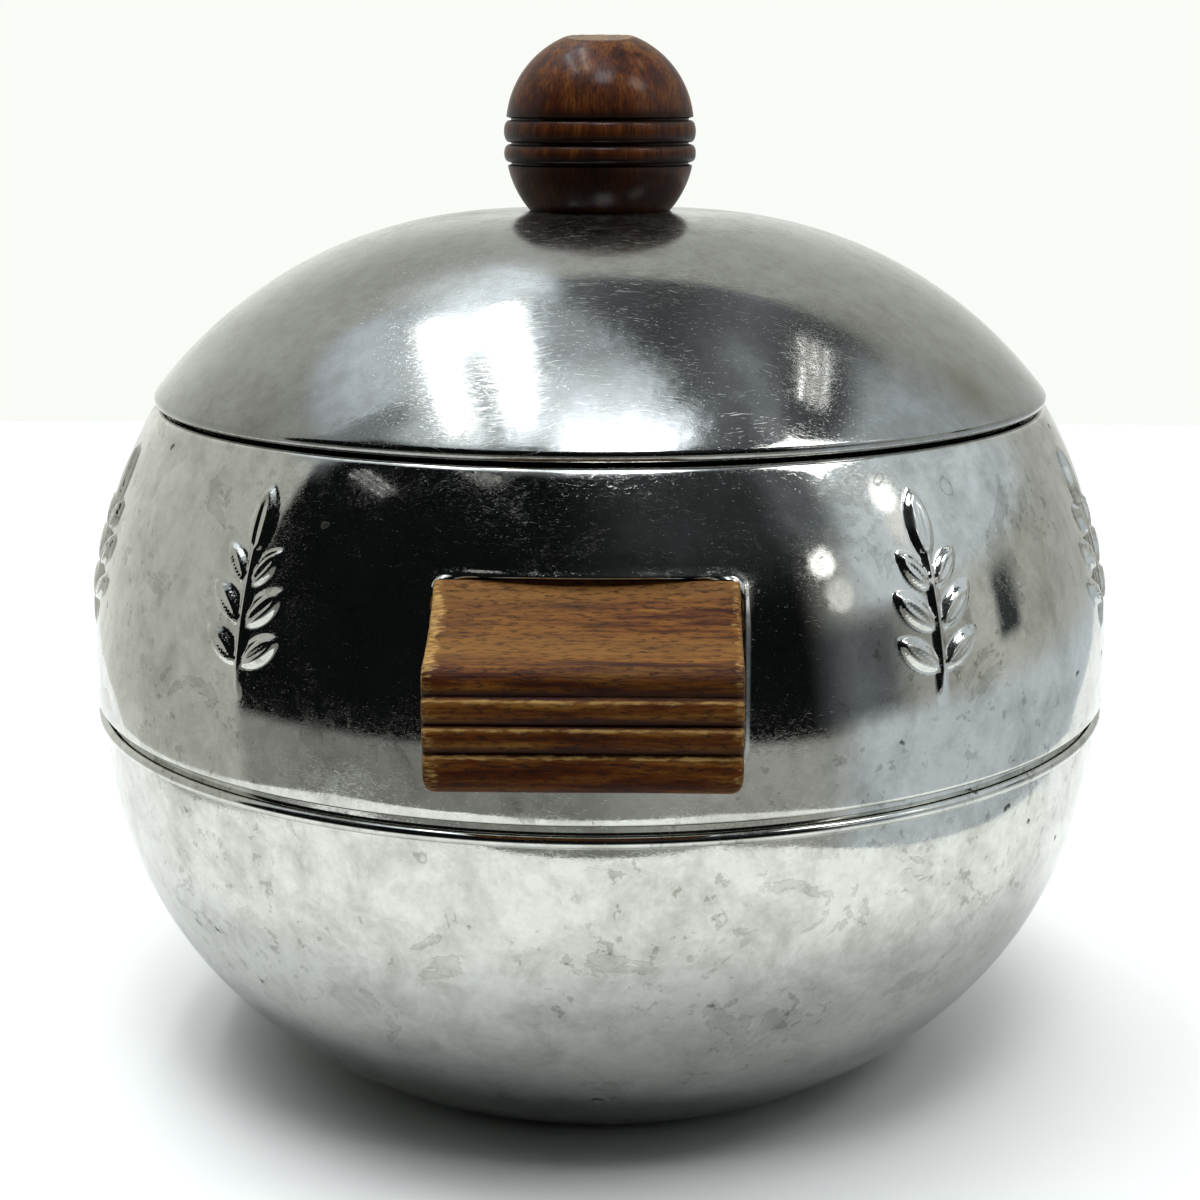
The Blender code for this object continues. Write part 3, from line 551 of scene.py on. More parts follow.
# nickel plated steel, satin polished in short strokes: soft streaked highlights with ragged edges
def lidMaterial():
    material, tree, shader, place = newMaterial("satin polished nickel")
    cloud = addNode(tree, "TexNoise", None, {
        "Vector": place, "Scale": 44.0, "Detail": 7.0, "Roughness": 0.68})
    cloudShare = addNode(tree, "MapRange", None, {0: cloud, 1: 0.40, 2: 0.68})
    bent = bend(tree, place, 60.0, 0.012, place)
    # strokes and scratches are drawn 0.3 mm wide so that they show
    stroke = strokePattern(tree, place, (35, 80, 150), 0.0030, 0.00030, 0.55, 0.76)
    scratch = strokePattern(tree, bent, (60, 115, 10), 0.030, 0.00028, 0.68, 0.74)
    stroke = addNode(tree, "Math", {"operation": "MULTIPLY"}, {
        0: stroke, 1: addUp(tree, 0.25, ((cloudShare, 0.75),))})
    brush = strokePattern(tree, bent, (50, 128), 0.0050, 0.0009, 0.30, 0.80)
    mottleShare = blotches(tree, place, 260.0, 6.0, 0.42, 0.66, 0.72)
    speckle = addNode(tree, "TexNoise", None, {
        "Vector": place, "Scale": 1500.0, "Detail": 3.0, "Roughness": 0.7})
    nick = scatterNicks(tree, place, 95.0, 0.90, 0.02, 0.06)
    # one ragged stain
    toStain = addNode(tree, "VectorMath", {"operation": "DISTANCE"}, {0: place, 1: lidMetal["stainPlace"]})
    ragged = addNode(tree, "Math", {"operation": "MULTIPLY_ADD"}, {
        0: cloud, 1: 0.010, 2: toStain.outputs["Value"]})
    stain = addNode(tree, "MapRange", None, {0: ragged, 1: 0.005, 2: 0.013, 3: 1.0, 4: 0.0})

    filmShare = addUp(tree, 0.0, ((cloudShare, 0.45), (mottleShare, 0.35), (stroke, 0.25)))
    stainShare = addNode(tree, "Math", {"operation": "MULTIPLY"}, {0: stain, 1: 0.7})
    colour = layColours(tree, "metal", lidMetal, ((filmShare, "film"), (nick, "nick"), (stainShare, "stain")))
    height = addNode(tree, "SeparateXYZ", None, {0: place}).outputs["Z"]
    topLow, topHigh = lidMetal["topLevels"]
    nearTop = addNode(tree, "MapRange", None, {0: height, 1: topLow, 2: topHigh})
    rough = addUp(tree, lidMetal["satin"], (
        (nearTop, 0.10), (cloudShare, 0.05), (mottleShare, 0.05), (stroke, 0.29), (scratch, 0.30),
        (stain, 0.2)))
    strokes = addUp(tree, 0.5, ((stroke, 0.5), (scratch, -0.5)))
    relief = reliefOf(tree, ((speckle, 0.000002), (brush, 0.0000045), (strokes, 0.000009)))
    linkSurface(tree, shader, 1.0, colour, rough, relief)
    return material


liner = {"metal": "#c8c9c6", "film": "#a9a8a0", "roughness": 0.22}


# spun stainless steel: fine turned lines that run round the axis
def linerMaterial():
    material, tree, shader, place = newMaterial("spun stainless steel")
    split = addNode(tree, "SeparateXYZ", None, {0: place})
    flat = addNode(tree, "CombineXYZ", None, {0: split.outputs[0], 1: split.outputs[1], 2: 0.0})
    radius = addNode(tree, "VectorMath", {"operation": "LENGTH"}, {0: flat}).outputs["Value"]
    section = addNode(tree, "CombineXYZ", None, {0: radius, 1: 0.0, 2: split.outputs[2]})
    lines = addNode(tree, "TexNoise", None, {
        "Vector": section, "Scale": 1100.0, "Detail": 4.0, "Roughness": 0.7})
    cloudShare = blotches(tree, place, 40.0, 5.0, 0.4, 0.7)
    rough = addUp(tree, liner["roughness"], ((lines, 0.12), (cloudShare, 0.08)))
    colour = layColours(tree, "metal", liner, ((cloudShare, "film"),))
    linkSurface(tree, shader, 1.0, colour, rough, reliefOf(tree, ((lines, 0.00002),)))
    return material


wood = {
    "handle": ["#2a0c02", "#572908", "#804d18", "#a67733"],
    "knob": ["#210b03", "#4c2008", "#6f3a10", "#875720"],
    "dry": "#8f6534",  # dry bare wood and where it is rubbed, and a painted sheen on the handle's top and lip
    "chipped": "#d6ac66",
    "pores": "#1d0d05",
    # dark in the grooves, and the colour of the painted shade on the knob's lower ball and under the handle's
    # ribs
    "groove": "#1e0a03",
}


# oiled or varnished walnut: long wavy grain with short dark pores, dry and paler where it is rubbed, golden
# where it is chipped, with a painted sheen laid in with the dry colour and painted shade laid in with the
# groove colour
def woodMaterial(name, colours, grain, coat, roughness, gloss):
    material, tree, shader, place = newMaterial(name)
    long = addNode(tree, "Mapping", None, {"Vector": place, "Scale": grain})
    figure = addNode(tree, "TexNoise", None, {
        "Vector": bend(tree, place, 60.0, 1.2, long), "Scale": 1.0, "Detail": 8.0, "Roughness": 0.66})
    dry, wear, groove = [addNode(tree, "Attribute", {"attribute_name": stored}).outputs["Fac"]
                         for stored in ("dry", "wear", "groove")]
    stops = list(zip((0.32, 0.46, 0.57, 0.70), map(linear, colours)))
    colour = addNode(tree, "ValToRGB", {"stops": stops}, {0: figure}).outputs[0]
    dryAndSheenShare = addNode(tree, "MapRange", None, {0: addUp(tree, dry, ((figure, 0.8),)), 1: 0.46, 2: 1.15})
    # flecks and pores; on the handles they are about 2 mm long, and drawn 0.5 mm wide so that they show
    fine = addNode(tree, "VectorMath", {"operation": "MULTIPLY"}, {0: long, 1: (11.0, 3.2, 3.2)})
    fleck = addNode(tree, "TexNoise", None, {"Vector": fine, "Scale": 1.0, "Detail": 3.0, "Roughness": 0.6})
    fleckShare = addNode(tree, "MapRange", None, {0: fleck, 1: 0.50, 2: 0.66, 4: 0.75})
    wearEdge = addNode(tree, "Math", {"operation": "MULTIPLY_ADD"}, {0: fleck, 1: 1.6, 2: wear})
    wearShare = addNode(tree, "MapRange", None, {0: wearEdge, 1: 1.12, 2: 1.56, 4: 0.95})
    # the groove colour lays in dark grooves and painted shade
    colour = layColours(tree, colour, wood, (
        (dryAndSheenShare, "dry"), (fleckShare, "pores"), (wearShare, "chipped"), (groove, "groove")))
    rough = addUp(tree, roughness, ((figure, 0.2), (dryAndSheenShare, 0.2), (wearShare, 0.1)))
    relief = reliefOf(tree, ((figure, 0.00010), (fleckShare, 0.00006)))
    relief.invert = True  # the pores are sunk
    linkSurface(tree, shader, 0.0, colour, rough, relief)
    shader.inputs["Specular IOR Level"].default_value = gloss
    shader.inputs["Coat Weight"].default_value = coat
    shader.inputs["Coat Roughness"].default_value = 0.17
    return material


chromeFinish = chromeMaterial()
lidFinish = lidMaterial()
linerFinish = linerMaterial()
handleWood = woodMaterial("oiled walnut, grain lengthwise", wood["handle"], (45, 620, 620), 0.0, 0.42, 0.15)
knobWood = woodMaterial("varnished walnut, grain upright", wood["knob"], (300, 300, 40), 0.22, 0.44, 0.12)
print("materials built")


# Bowl

bowl = {
    "sheet": 0.0008,
    "bead": 0.0012,  # radius of the rolled bead under the seam
    "collar": 0.0080,  # height of the collar, which goes up inside the band
    "collarStep": 0.0005,  # how far it stands in from the bead's middle
    "footRadius": 0.0532,
    "footRound": 0.0040,
    "footWidth": 0.0052,
    "footRecess": 0.0025,
    "recessRings": (0.75, 0.5, 0.25, 0.1, 0),
    "steps": 320,
}


def buildBowl():
    low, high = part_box("outer_bowl")
    bead, foot = bowl["bead"], (bowl["footRadius"], bowl["footRound"])
    rim = high.x - bead
    rimTop = high.z - bowl["collar"]
    collar = rim - bowl["collarStep"]
    top = rimTop - 2 * bead
    radius = blendRadius(top - foot[1], rim - foot[0], foot[1])
    middle = (rim - radius, top)
    footAngle = angleTo(middle, foot)
    inside = bowl["footRadius"] - bowl["footWidth"]
    recess = bowl["footRecess"]
    outline = [(collar, high.z), (collar, high.z - 0.004), (collar, rimTop)]
    outline += arcPoints((rim, rimTop - bead), bead, 90, -90, 14)
    outline += arcPoints(middle, radius, 0, footAngle, 70)[1:]
    outline += arcPoints(foot, foot[1], footAngle, -90, 8)[1:]
    outline += [(inside, 0), (inside - recess, recess)]
    outline += [(inside * share, recess) for share in bowl["recessRings"]]
    bm = sweep(outline, [(360, bowl["steps"])])
    finishPiece("outer_bowl", bm, chromeFinish, "bucket", bowl["sheet"])


buildBowl()


# Band, with its pressed seats and its relief

band = {
    "sheet": 0.0008,
    "widest": 0.0074,  # height of the widest ring over the seam
    "shoulderRadius": 0.08705,
    "shoulderRound": 0.0016,
    "edgeRound": 0.0009,
    "edgeLip": 0.0003,  # how far the lower edge goes on inwards
    "mouth": 0.0819,
    "mouthStep": 0.0845,  # one more ring, on the flat round the mouth
    "fineTop": 0.1300,  # the fine mesh ends here
    "reliefLevels": (0.088, 0.131),  # the sprigs stand between them
    "seatMargin": 0.0001,  # how much of the flat shows round a handle
    "seatPlane": 0.0939,
    "seatCorner": 0.0020,
    "seatStep": 0.0005,
    "seatLip": 0.00025,  # height of the lip that the press raised round the seat
    "fine": 0.0005,  # mesh step across the relief
    "wideTurn": 1.45,  # degrees of the mesh's steps elsewhere
}
sprig = {
    "turns": [36, 72, 108, 144, 216, 252, 288, 324],  # places round the band, in degrees from the front
    "half": 0.0098,  # half the width that a sprig may take
    "height": 0.0010,
    "stem": (0.0915, 0.1175),
    "stemWidth": 0.0007,
    "edge": 0.0010,  # width of a leaf's slope
    "vein": 0.00030,
    "veinDepth": 0.40,  # share of the height
    "leaves": [  # foot along the stem, tilt, length, width
        (0.1150, 0, 0.0125, 0.0056),
        (0.1105, 42, 0.0096, 0.0042),
        (0.1040, 50, 0.0112, 0.0048),
        (0.0975, 56, 0.0108, 0.0046),
    ],
}


# height of the sprig, from 0 to 1, at a distance across from its stem and a level
def sprigHeight(across, level):
    stemLow, stemHigh = sprig["stem"]
    best = 0.0
    if stemLow < level < stemHigh:
        best = 0.75 * (1 - smoothStep(abs(across), 0.3 * sprig["stemWidth"], 1.8 * sprig["stemWidth"]))
        best *= smoothStep(level, stemLow, stemLow + 0.003)
    side = abs(across)
    for foot, tilt, length, width in sprig["leaves"]:
        along = Vector((sin(radians(tilt)), cos(radians(tilt))))
        point = Vector((side, level - foot))
        run = point.dot(along)
        off = point.x * along.y - point.y * along.x
        radius = (length**2 + width**2) / (4 * width)
        inside = radius - hypot(run - length / 2, abs(off) + radius - width / 2)
        if inside > 0:
            body = smoothStep(inside, 0, sprig["edge"]) * (0.75 + 0.25 * smoothStep(inside, 0, width / 2))
            vein = exp(-(off / sprig["vein"]) ** 2)
            vein *= smoothStep(length - run, 0.001, 0.004) * smoothStep(run, 0, 0.002)
            best = max(best, body - sprig["veinDepth"] * vein)
    return best


# share of a point that the flat for a handle takes, from 0 outside to 1 on the flat, and of the lip round it
def seatShare(x, z, low, high):
    corner, margin, step = band["seatCorner"], band["seatMargin"], band["seatStep"]
    dx = abs(x) - (high.x + margin - corner)
    dz = abs(z - (low.z + high.z) / 2) - ((high.z - low.z) / 2 + margin - corner)
    away = hypot(max(dx, 0), max(dz, 0)) + min(max(dx, dz), 0) - corner
    return 1 - smoothStep(away, 0, step), smoothStep(away, 0, step) * (1 - smoothStep(away, step, 4 * step))


def levels(low, high, step):
    count = max(1, round((high - low) / step))
    return [low + (high - low) * i / count for i in range(count)]


def buildBand():
    low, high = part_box("body_band")
    sheet, edgeRound = band["sheet"], band["edgeRound"]
    shoulder = (band["shoulderRadius"], high.z - band["shoulderRound"])
    widest = low.z + band["widest"]
    radius = blendRadius(shoulder[1] - widest, high.x - shoulder[0], band["shoulderRound"])
    middle = (high.x - radius, widest)
    edge = (high.x - edgeRound, low.z + edgeRound)
    shoulderAngle, edgeAngle = angleTo(middle, shoulder), 0
    shoulderLevel = middle[1] + radius * sin(radians(shoulderAngle))
    edgeLevel = edge[1]

    # the side is upright below its widest level
    def side(level, inset):
        return (middle[0] + sqrt((radius - inset) ** 2 - max(0, level - middle[1]) ** 2), level)

    # close levels where there is relief, and inside only at the seat's steps
    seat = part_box("handle_front")
    seatLow, seatHigh, seatHalf = seat[0].z, seat[1].z, seat[1].x + band["seatMargin"]
    fineLow, fineHigh = seatLow - 0.003, band["fineTop"]
    outer = levels(edgeLevel, fineLow, 0.0016)[1:] + levels(fineLow, seatHigh - 0.001, band["fine"])
    outer += levels(seatHigh - 0.001, seatHigh + 0.003, band["fine"] / 2)
    outer += levels(seatHigh + 0.003, fineHigh, band["fine"]) + levels(fineHigh, shoulderLevel, 0.0008)
    inner = levels(edgeLevel, fineLow, 0.003)[1:] + levels(fineLow, seatLow + 0.001, 0.0005)
    inner += levels(seatLow + 0.001, seatHigh - 0.002, 0.0035)
    inner += levels(seatHigh - 0.002, seatHigh + 0.004, 0.0005)
    inner += levels(seatHigh + 0.004, shoulderLevel, 0.003)
    outline = [(edge[0] - band["edgeLip"], low.z)] + arcPoints(edge, edgeRound, -90, edgeAngle, 6)
    outline += [side(level, 0) for level in outer]
    outline += arcPoints(shoulder, band["shoulderRound"], shoulderAngle, 90, 9)
    outline += [(band["mouthStep"], high.z), (band["mouth"], high.z), (band["mouth"], high.z - sheet)]
    outerCount = len(outline) - 1
    outline += arcPoints(shoulder, band["shoulderRound"] - sheet, 90, shoulderAngle, 3)
    outline += [side(level, sheet) for level in reversed(inner)]
    outline += arcPoints(edge, edgeRound - sheet, edgeAngle, -90, 2)
    outline += [(edge[0] - band["edgeLip"], low.z + sheet)]
    marks = [1.0] * outerCount + [0.0] * (len(outline) - outerCount)

    # stretches of mesh round the band: fine across each sprig and at the seats' ends, wide elsewhere
    halfSprig = degrees(sprig["half"] / high.x)
    cuts = [(a - halfSprig, a + halfSprig) for a in sprig["turns"]]
    seatEnd = degrees(asin((seatHalf + band["seatStep"] / 2) / high.x))
    for middleTurn in (0, 180, 360):
        for end in (middleTurn - seatEnd, middleTurn + seatEnd):
            cuts.append((end - 1.4, end + 1.4))
    cuts = sorted(c for c in cuts if 0 < c[0] and c[1] < 360)
    stretches, at = [], 0.0
    for begin, end in cuts:
        step = band["fine"] * (1 if end - begin > 3 else 0.5)
        stretches.append((begin - at, max(1, round((begin - at) / band["wideTurn"]))))
        stretches.append((end - begin, round((end - begin) / degrees(step / high.x))))
        at = end
    stretches.append((360 - at, round((360 - at) / band["wideTurn"])))

    bm = sweep(outline, stretches, closed=True, marks=marks)
    mark = bm.verts.layers.float["mark"]
    reliefLow, reliefHigh = band["reliefLevels"]
    for vert in bm.verts:
        x, y, z = vert.co
        around = hypot(x, y)
        if vert[mark] > 0.5 and reliefLow < z < reliefHigh:
            turn = degrees(atan2(y, x)) % 360
            nearest = min(sprig["turns"], key=lambda a: abs(a - turn))
            across = radians(turn - nearest) * around
            if abs(across) < sprig["half"]:
                rise = min(sprig["height"], high.x - 0.00005 - around) * sprigHeight(across, z)
                x, y = x * (1 + rise / around), y * (1 + rise / around)
        flat, lip = seatShare(y, z, *seat)
        if flat + lip > 0 and abs(x) > 0.05:
            plane = band["seatPlane"] - (0 if vert[mark] > 0.5 else sheet)
            out = abs(x) + (plane - abs(x)) * flat + lip * band["seatLip"]
            x = out if x > 0 else -out
        vert.co = (x, y, z)
    # the outline was swept from the front handle's middle, so it is turned to face -Y
    bmesh.ops.rotate(bm, verts=bm.verts, cent=(0, 0, 0), matrix=Matrix.Rotation(-pi / 2, 3, "Z"))
    finishPiece("body_band", bm, chromeFinish, "bucket", sharp=60)


buildBand()


# Liner

linerSizes = {
    "sheet": 0.0007,
    "bead": 0.00065,  # radius of the rolled edge
    "mouthRound": 0.0018,
    "neck": 0.0024,  # how far the wall stands in from the edge
    "taper": 0.0085,  # how much narrower it is at the floor
    "corner": 0.0220,
    "floorRings": (0.040, 0.020, 0.006, 0),
    "steps": 256,
}


# closed outline of a sheet along a centreline that ends on the axis; its free edge is rolled to a bead
def sheetOutline(path, thickness, bead=0):
    over, under = [], []
    for i, (r, z) in enumerate(path):
        before, after = path[max(i - 1, 0)], path[min(i + 1, len(path) - 1)]
        run = hypot(after[0] - before[0], after[1] - before[1])
        offR = -(after[1] - before[1]) / run * thickness / 2
        offZ = (after[0] - before[0]) / run * thickness / 2
        if r == 0:
            offR, offZ = 0, -thickness / 2
        over.append((r - offR, z - offZ))
        under.append((r + offR, z + offZ))
    if not bead:
        return over[::-1] + under
    start = degrees(pi - asin(thickness / 2 / bead))
    return over[:0:-1] + arcPoints(path[0], bead, start, -start, 12) + under[1:]


def buildLiner():
    low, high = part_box("inner_liner")
    half = linerSizes["sheet"] / 2
    bead = (high.x - linerSizes["bead"], high.z - linerSizes["bead"])
    wall = bead[0] - linerSizes["neck"] - half
    mouthRound, corner = linerSizes["mouthRound"], linerSizes["corner"]
    floor = low.z + half
    path = [bead]
    path += arcPoints((wall + mouthRound, bead[1] - mouthRound), mouthRound, 90, 180, 8)
    path += arcPoints((wall - linerSizes["taper"] - corner, floor + corner), corner, 0, -90, 24)
    path += [(radius, floor) for radius in linerSizes["floorRings"]]
    bm = sweep(sheetOutline(path, linerSizes["sheet"], linerSizes["bead"]), [(360, linerSizes["steps"])])
    finishPiece("inner_liner", bm, linerFinish, "bucket")


buildLiner()


# Lid

lid = {
    "sheet": 0.0008,
    "seat": 0.0180,  # radius of the flat under the knob
    "flatRings": (0.0023, 0.007, 0.013),  # the screw's hole, and two rings on the flat
    "edgeRound": 0.0014,
    "lip": 0.0016,  # how far the rolled edge goes on inwards
    "edgeDrop": 0.0004,  # the rolled edge hangs this much lower, so that less of the gap shows
    "linerSheet": 0.0007,
    "plugRadius": 0.0796,
    "plugRound": 0.0026,
    "neckRound": 0.0018,
    "dishRise": 0.0038,  # how far the plug's underside is dished, and the width of the flat round it
    "dishRim": 0.0050,
    "linerSteps": 256,
    "steps": 320,
}


def buildDome():
    low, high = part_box("lid_dome")
    bottom = low.z - lid["edgeDrop"]
    edge = (high.x - lid["edgeRound"], bottom + lid["edgeRound"])
    radius = blendRadius(edge[0] - lid["seat"], high.z - edge[1], lid["edgeRound"])
    middle = (lid["seat"], high.z - radius)
    edgeAngle = angleTo(middle, edge)
    outline = [(ring, high.z) for ring in lid["flatRings"]]
    outline += arcPoints(middle, radius, 90, edgeAngle, 80)
    outline += arcPoints(edge, lid["edgeRound"], edgeAngle, -90, 12)[1:]
    outline += [(edge[0] - lid["lip"], bottom)]
    bm = sweep(outline, [(360, lid["steps"])])
    finishPiece("lid_dome", bm, lidFinish, "lid", lid["sheet"])


def buildLidLiner():
    low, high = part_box("lid_liner")
    half = lid["linerSheet"] / 2
    level = high.z - half
    plug = lid["plugRadius"] - half
    bottom = low.z + half
    rim = plug - lid["plugRound"]
    dome = rim - lid["dishRim"]
    dishRadius = (dome**2 + lid["dishRise"] ** 2) / (2 * lid["dishRise"])
    middle = (0, bottom + lid["dishRise"] - dishRadius)
    path = [(high.x, level)]
    path += arcPoints((plug + lid["neckRound"], level - lid["neckRound"]), lid["neckRound"], 90, 180, 8)
    path += arcPoints((rim, bottom + lid["plugRound"]), lid["plugRound"], 0, -90, 8)
    path += arcPoints(middle, dishRadius, angleTo(middle, (dome, bottom)), 90, 24)[:-1]
    path += [(0, bottom + lid["dishRise"])]
    bm = sweep(sheetOutline(path, lid["linerSheet"]), [(360, lid["linerSteps"])])
    finishPiece("lid_liner", bm, linerFinish, "lid")


buildDome()
buildLidLiner()


# Knob

knob = {
    "radius": 0.0184,
    "lower": 0.0119,  # level of the lower half ball's middle, and how much higher the upper one's is
    "waist": 0.0039,
    "grooves": (0.0089, 0.0127, 0.0173),
    "grooveDepth": 0.0010,
    "grooveHalf": 0.00045,
    "hole": 0.0023,
    "foot": 0.00025,  # the base reaches down to the dome
    "facetTilt": 7.2,  # the rubbed facet on top leans towards the front
    "facetBack": 0.0026,
    "facetWear": 0.34,
    "topDryAndSheen": 0.2,
    "screwDepth": 0.0138,
    "beadGap": 0.00018,  # what the grooves take from each bead
    "steps": 192,
}


# stores values for each vertex under names that a material reads
def storeAttributes(bm, attributes):
    for name, values in attributes.items():
        layer = bm.verts.layers.float.new(name)
        for vert, value in zip(list(bm.verts), values):
            vert[layer] = value


def buildKnob():
    low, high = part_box("lid_knob")
    base, tall = low.z, high.z - low.z
    radius, bead = knob["radius"], high.x
    floor = radius - knob["grooveDepth"]
    lower, upper = (0, knob["lower"]), (0, knob["lower"] + knob["waist"])
    topAngle = degrees(asin((tall - upper[1]) / radius))
    flat = radius * cos(radians(topAngle))
    grooves, half = knob["grooves"], knob["grooveHalf"]
    overAngle = degrees(asin((grooves[2] + half - upper[1]) / radius))
    underAngle = degrees(asin((grooves[0] - half - lower[1]) / radius))
    outline = [(0, tall), (flat * 0.45, tall), (flat * 0.8, tall - 0.00003), (flat * 0.94, tall - 0.00012)]
    outline += arcPoints(upper, radius, topAngle - 1.2, overAngle, 40)
    for bottom, top in ((grooves[1], grooves[2]), (grooves[0], grooves[1])):
        centre, reach = (bottom + top) / 2, (top - bottom) / 2 - knob["beadGap"]
        outline.append((floor, top + knob["beadGap"]))
        for i in range(17):
            turn = radians(90 - 180 * i / 16)
            outline.append((floor + (bead - floor) * cos(turn) ** 0.65, centre + reach * sin(turn)))
    outline.append((floor, grooves[0] - knob["beadGap"]))
    outline += arcPoints(lower, radius, underAngle, -degrees(asin(lower[1] / radius)), 26)
    hole, foot, depth = knob["hole"], -knob["foot"], knob["screwDepth"]
    outline += [(outline[-1][0] - 0.0002, foot), (hole, foot), (hole, depth), (0, depth)]
    bm = sweep([(r, base + z) for r, z in outline], [(360, knob["steps"])])
    wear, dry, groove = [], [], []
    for vert in bm.verts:
        x, y, z = vert.co
        level, around = z - base, hypot(x, y)
        off = min(abs(level - g) for g in grooves)
        above = min((level - g for g in grooves if level >= g), default=1)
        # dark in and just above each groove: dark stain, with painted shade where the wood curves in over it
        dark = 0.92 * (1 - smoothStep(off, 0.0003, 0.0011))
        dark = max(dark, 0.9 * (1 - smoothStep(above, 0.0007, 0.0028)))
        # painted shade on the underside of the lower ball
        dark = max(dark, 0.6 * (1 - smoothStep(level, 0.003, 0.0085)))
        # painted shade on the front of the lower ball under the grooves, with some darkening by hands
        inFront = smoothStep(-y / max(around, 0.001), 0.35, 0.85)
        dark = max(dark, 0.7 * inFront * (1 - smoothStep(level, grooves[0], grooves[0] + 0.0010)))
        groove.append(dark if around > 0.012 else 0)
        facet = tall - tan(radians(knob["facetTilt"])) * (knob["facetBack"] - y)
        rubbed = smoothStep(level - facet, -0.00015, 0.0001)
        if level > facet:
            vert.co.z = base + facet
        wear.append(knob["facetWear"] * rubbed)
        dry.append(knob["topDryAndSheen"] * smoothStep(level, tall - 0.006, tall - 0.001))
        # hand-turned and knocked about: not quite round
        if around > 0.006:
            push = 0.00012 * noise.noise(Vector((x, y, z)) * 110) * min(1, off / 0.001)
            vert.co += Vector((x, y, 0)).normalized() * min(push, bead - around)
    storeAttributes(bm, {"wear": wear, "dry": dry, "groove": groove})
    finishPiece("lid_knob", bm, knobWood, "lid", sharp=50)


buildKnob()


# Handles

handle = {
    "footRound": 0.0020,
    "firstRib": 0.0065,
    "rib": 0.0045,
    "ribs": 2,  # over the first, which ends at the foot
    "grooveDepth": 0.0010,
    "nose": 0.0048,  # height of the nose over the top groove
    "noseSetBack": 0.0030,
    "noseBulge": 0.0012,
    "scoopDepth": 0.0014,
    "endRound": 0.0007,
    "cornerRound": 0.0020,
    "columns": 110,
    "chipReach": 0.0022,  # how far from its ends the scoop is chipped, and how deep
    "chipDepth": 0.0005,
    "noseDark": 0.40,
    "edgeDry": 0.5,  # how dry the wood is at rubbed edges and in the scoop; on its lip and at its top the dry colour is dry wood with a painted sheen
    "scoopDry": 0.34,
    "lipDryAndSheen": 0.40,
    "topDryAndSheen": 0.45,
    "edgeWear": 0.76,
    "endWear": 0.38,  # wear at the ends, and at the scoop's left end
    "leftWear": 0.55,
}


# points of a shallow curve that leaves start for end and bows to its right by rise
def bow(start, end, rise, steps, power=1.0):
    along = (end[0] - start[0], end[1] - start[1])
    run = hypot(*along)
    points = []
    for i in range(1, steps + 1):
        share = i / steps
        offset = (4 * share * (1 - share)) ** power * rise / run
        points.append((start[0] + along[0] * share + along[1] * offset,
                       start[1] + along[1] * share - along[0] * offset))
    return points


def handleOutline(depth, tall):
    groove = depth - handle["grooveDepth"]
    foot = (depth - handle["footRound"], handle["footRound"])
    topGroove = handle["firstRib"] + handle["ribs"] * handle["rib"]
    crest = (depth - handle["noseSetBack"], topGroove + handle["nose"])
    # the flat back in steps of 1 mm, then round by the foot, the ribs, the nose and the scoop
    outline = [(0, i * 0.001) for i in range(round(tall / 0.001), 0, -1)][1:] + [(0, 0)]
    outline += [(depth * share, 0) for share in (0.25, 0.5, 0.75)]
    outline += arcPoints(foot, handle["footRound"], -90, 0, 8)
    outline += bow(outline[-1], (groove, handle["firstRib"]), handle["grooveDepth"] * 0.3, 12, 0.95)
    for i in range(handle["ribs"]):
        outline += bow(outline[-1], (groove, handle["firstRib"] + (i + 1) * handle["rib"]),
                       handle["grooveDepth"], 16, 0.55)
    outline += bow(outline[-1], crest, handle["noseBulge"], 14, 0.8)
    outline += bow(crest, (0, tall), -handle["scoopDepth"], 36)
    return outline, [topGroove - i * handle["rib"] for i in range(handle["ribs"] + 1)], crest


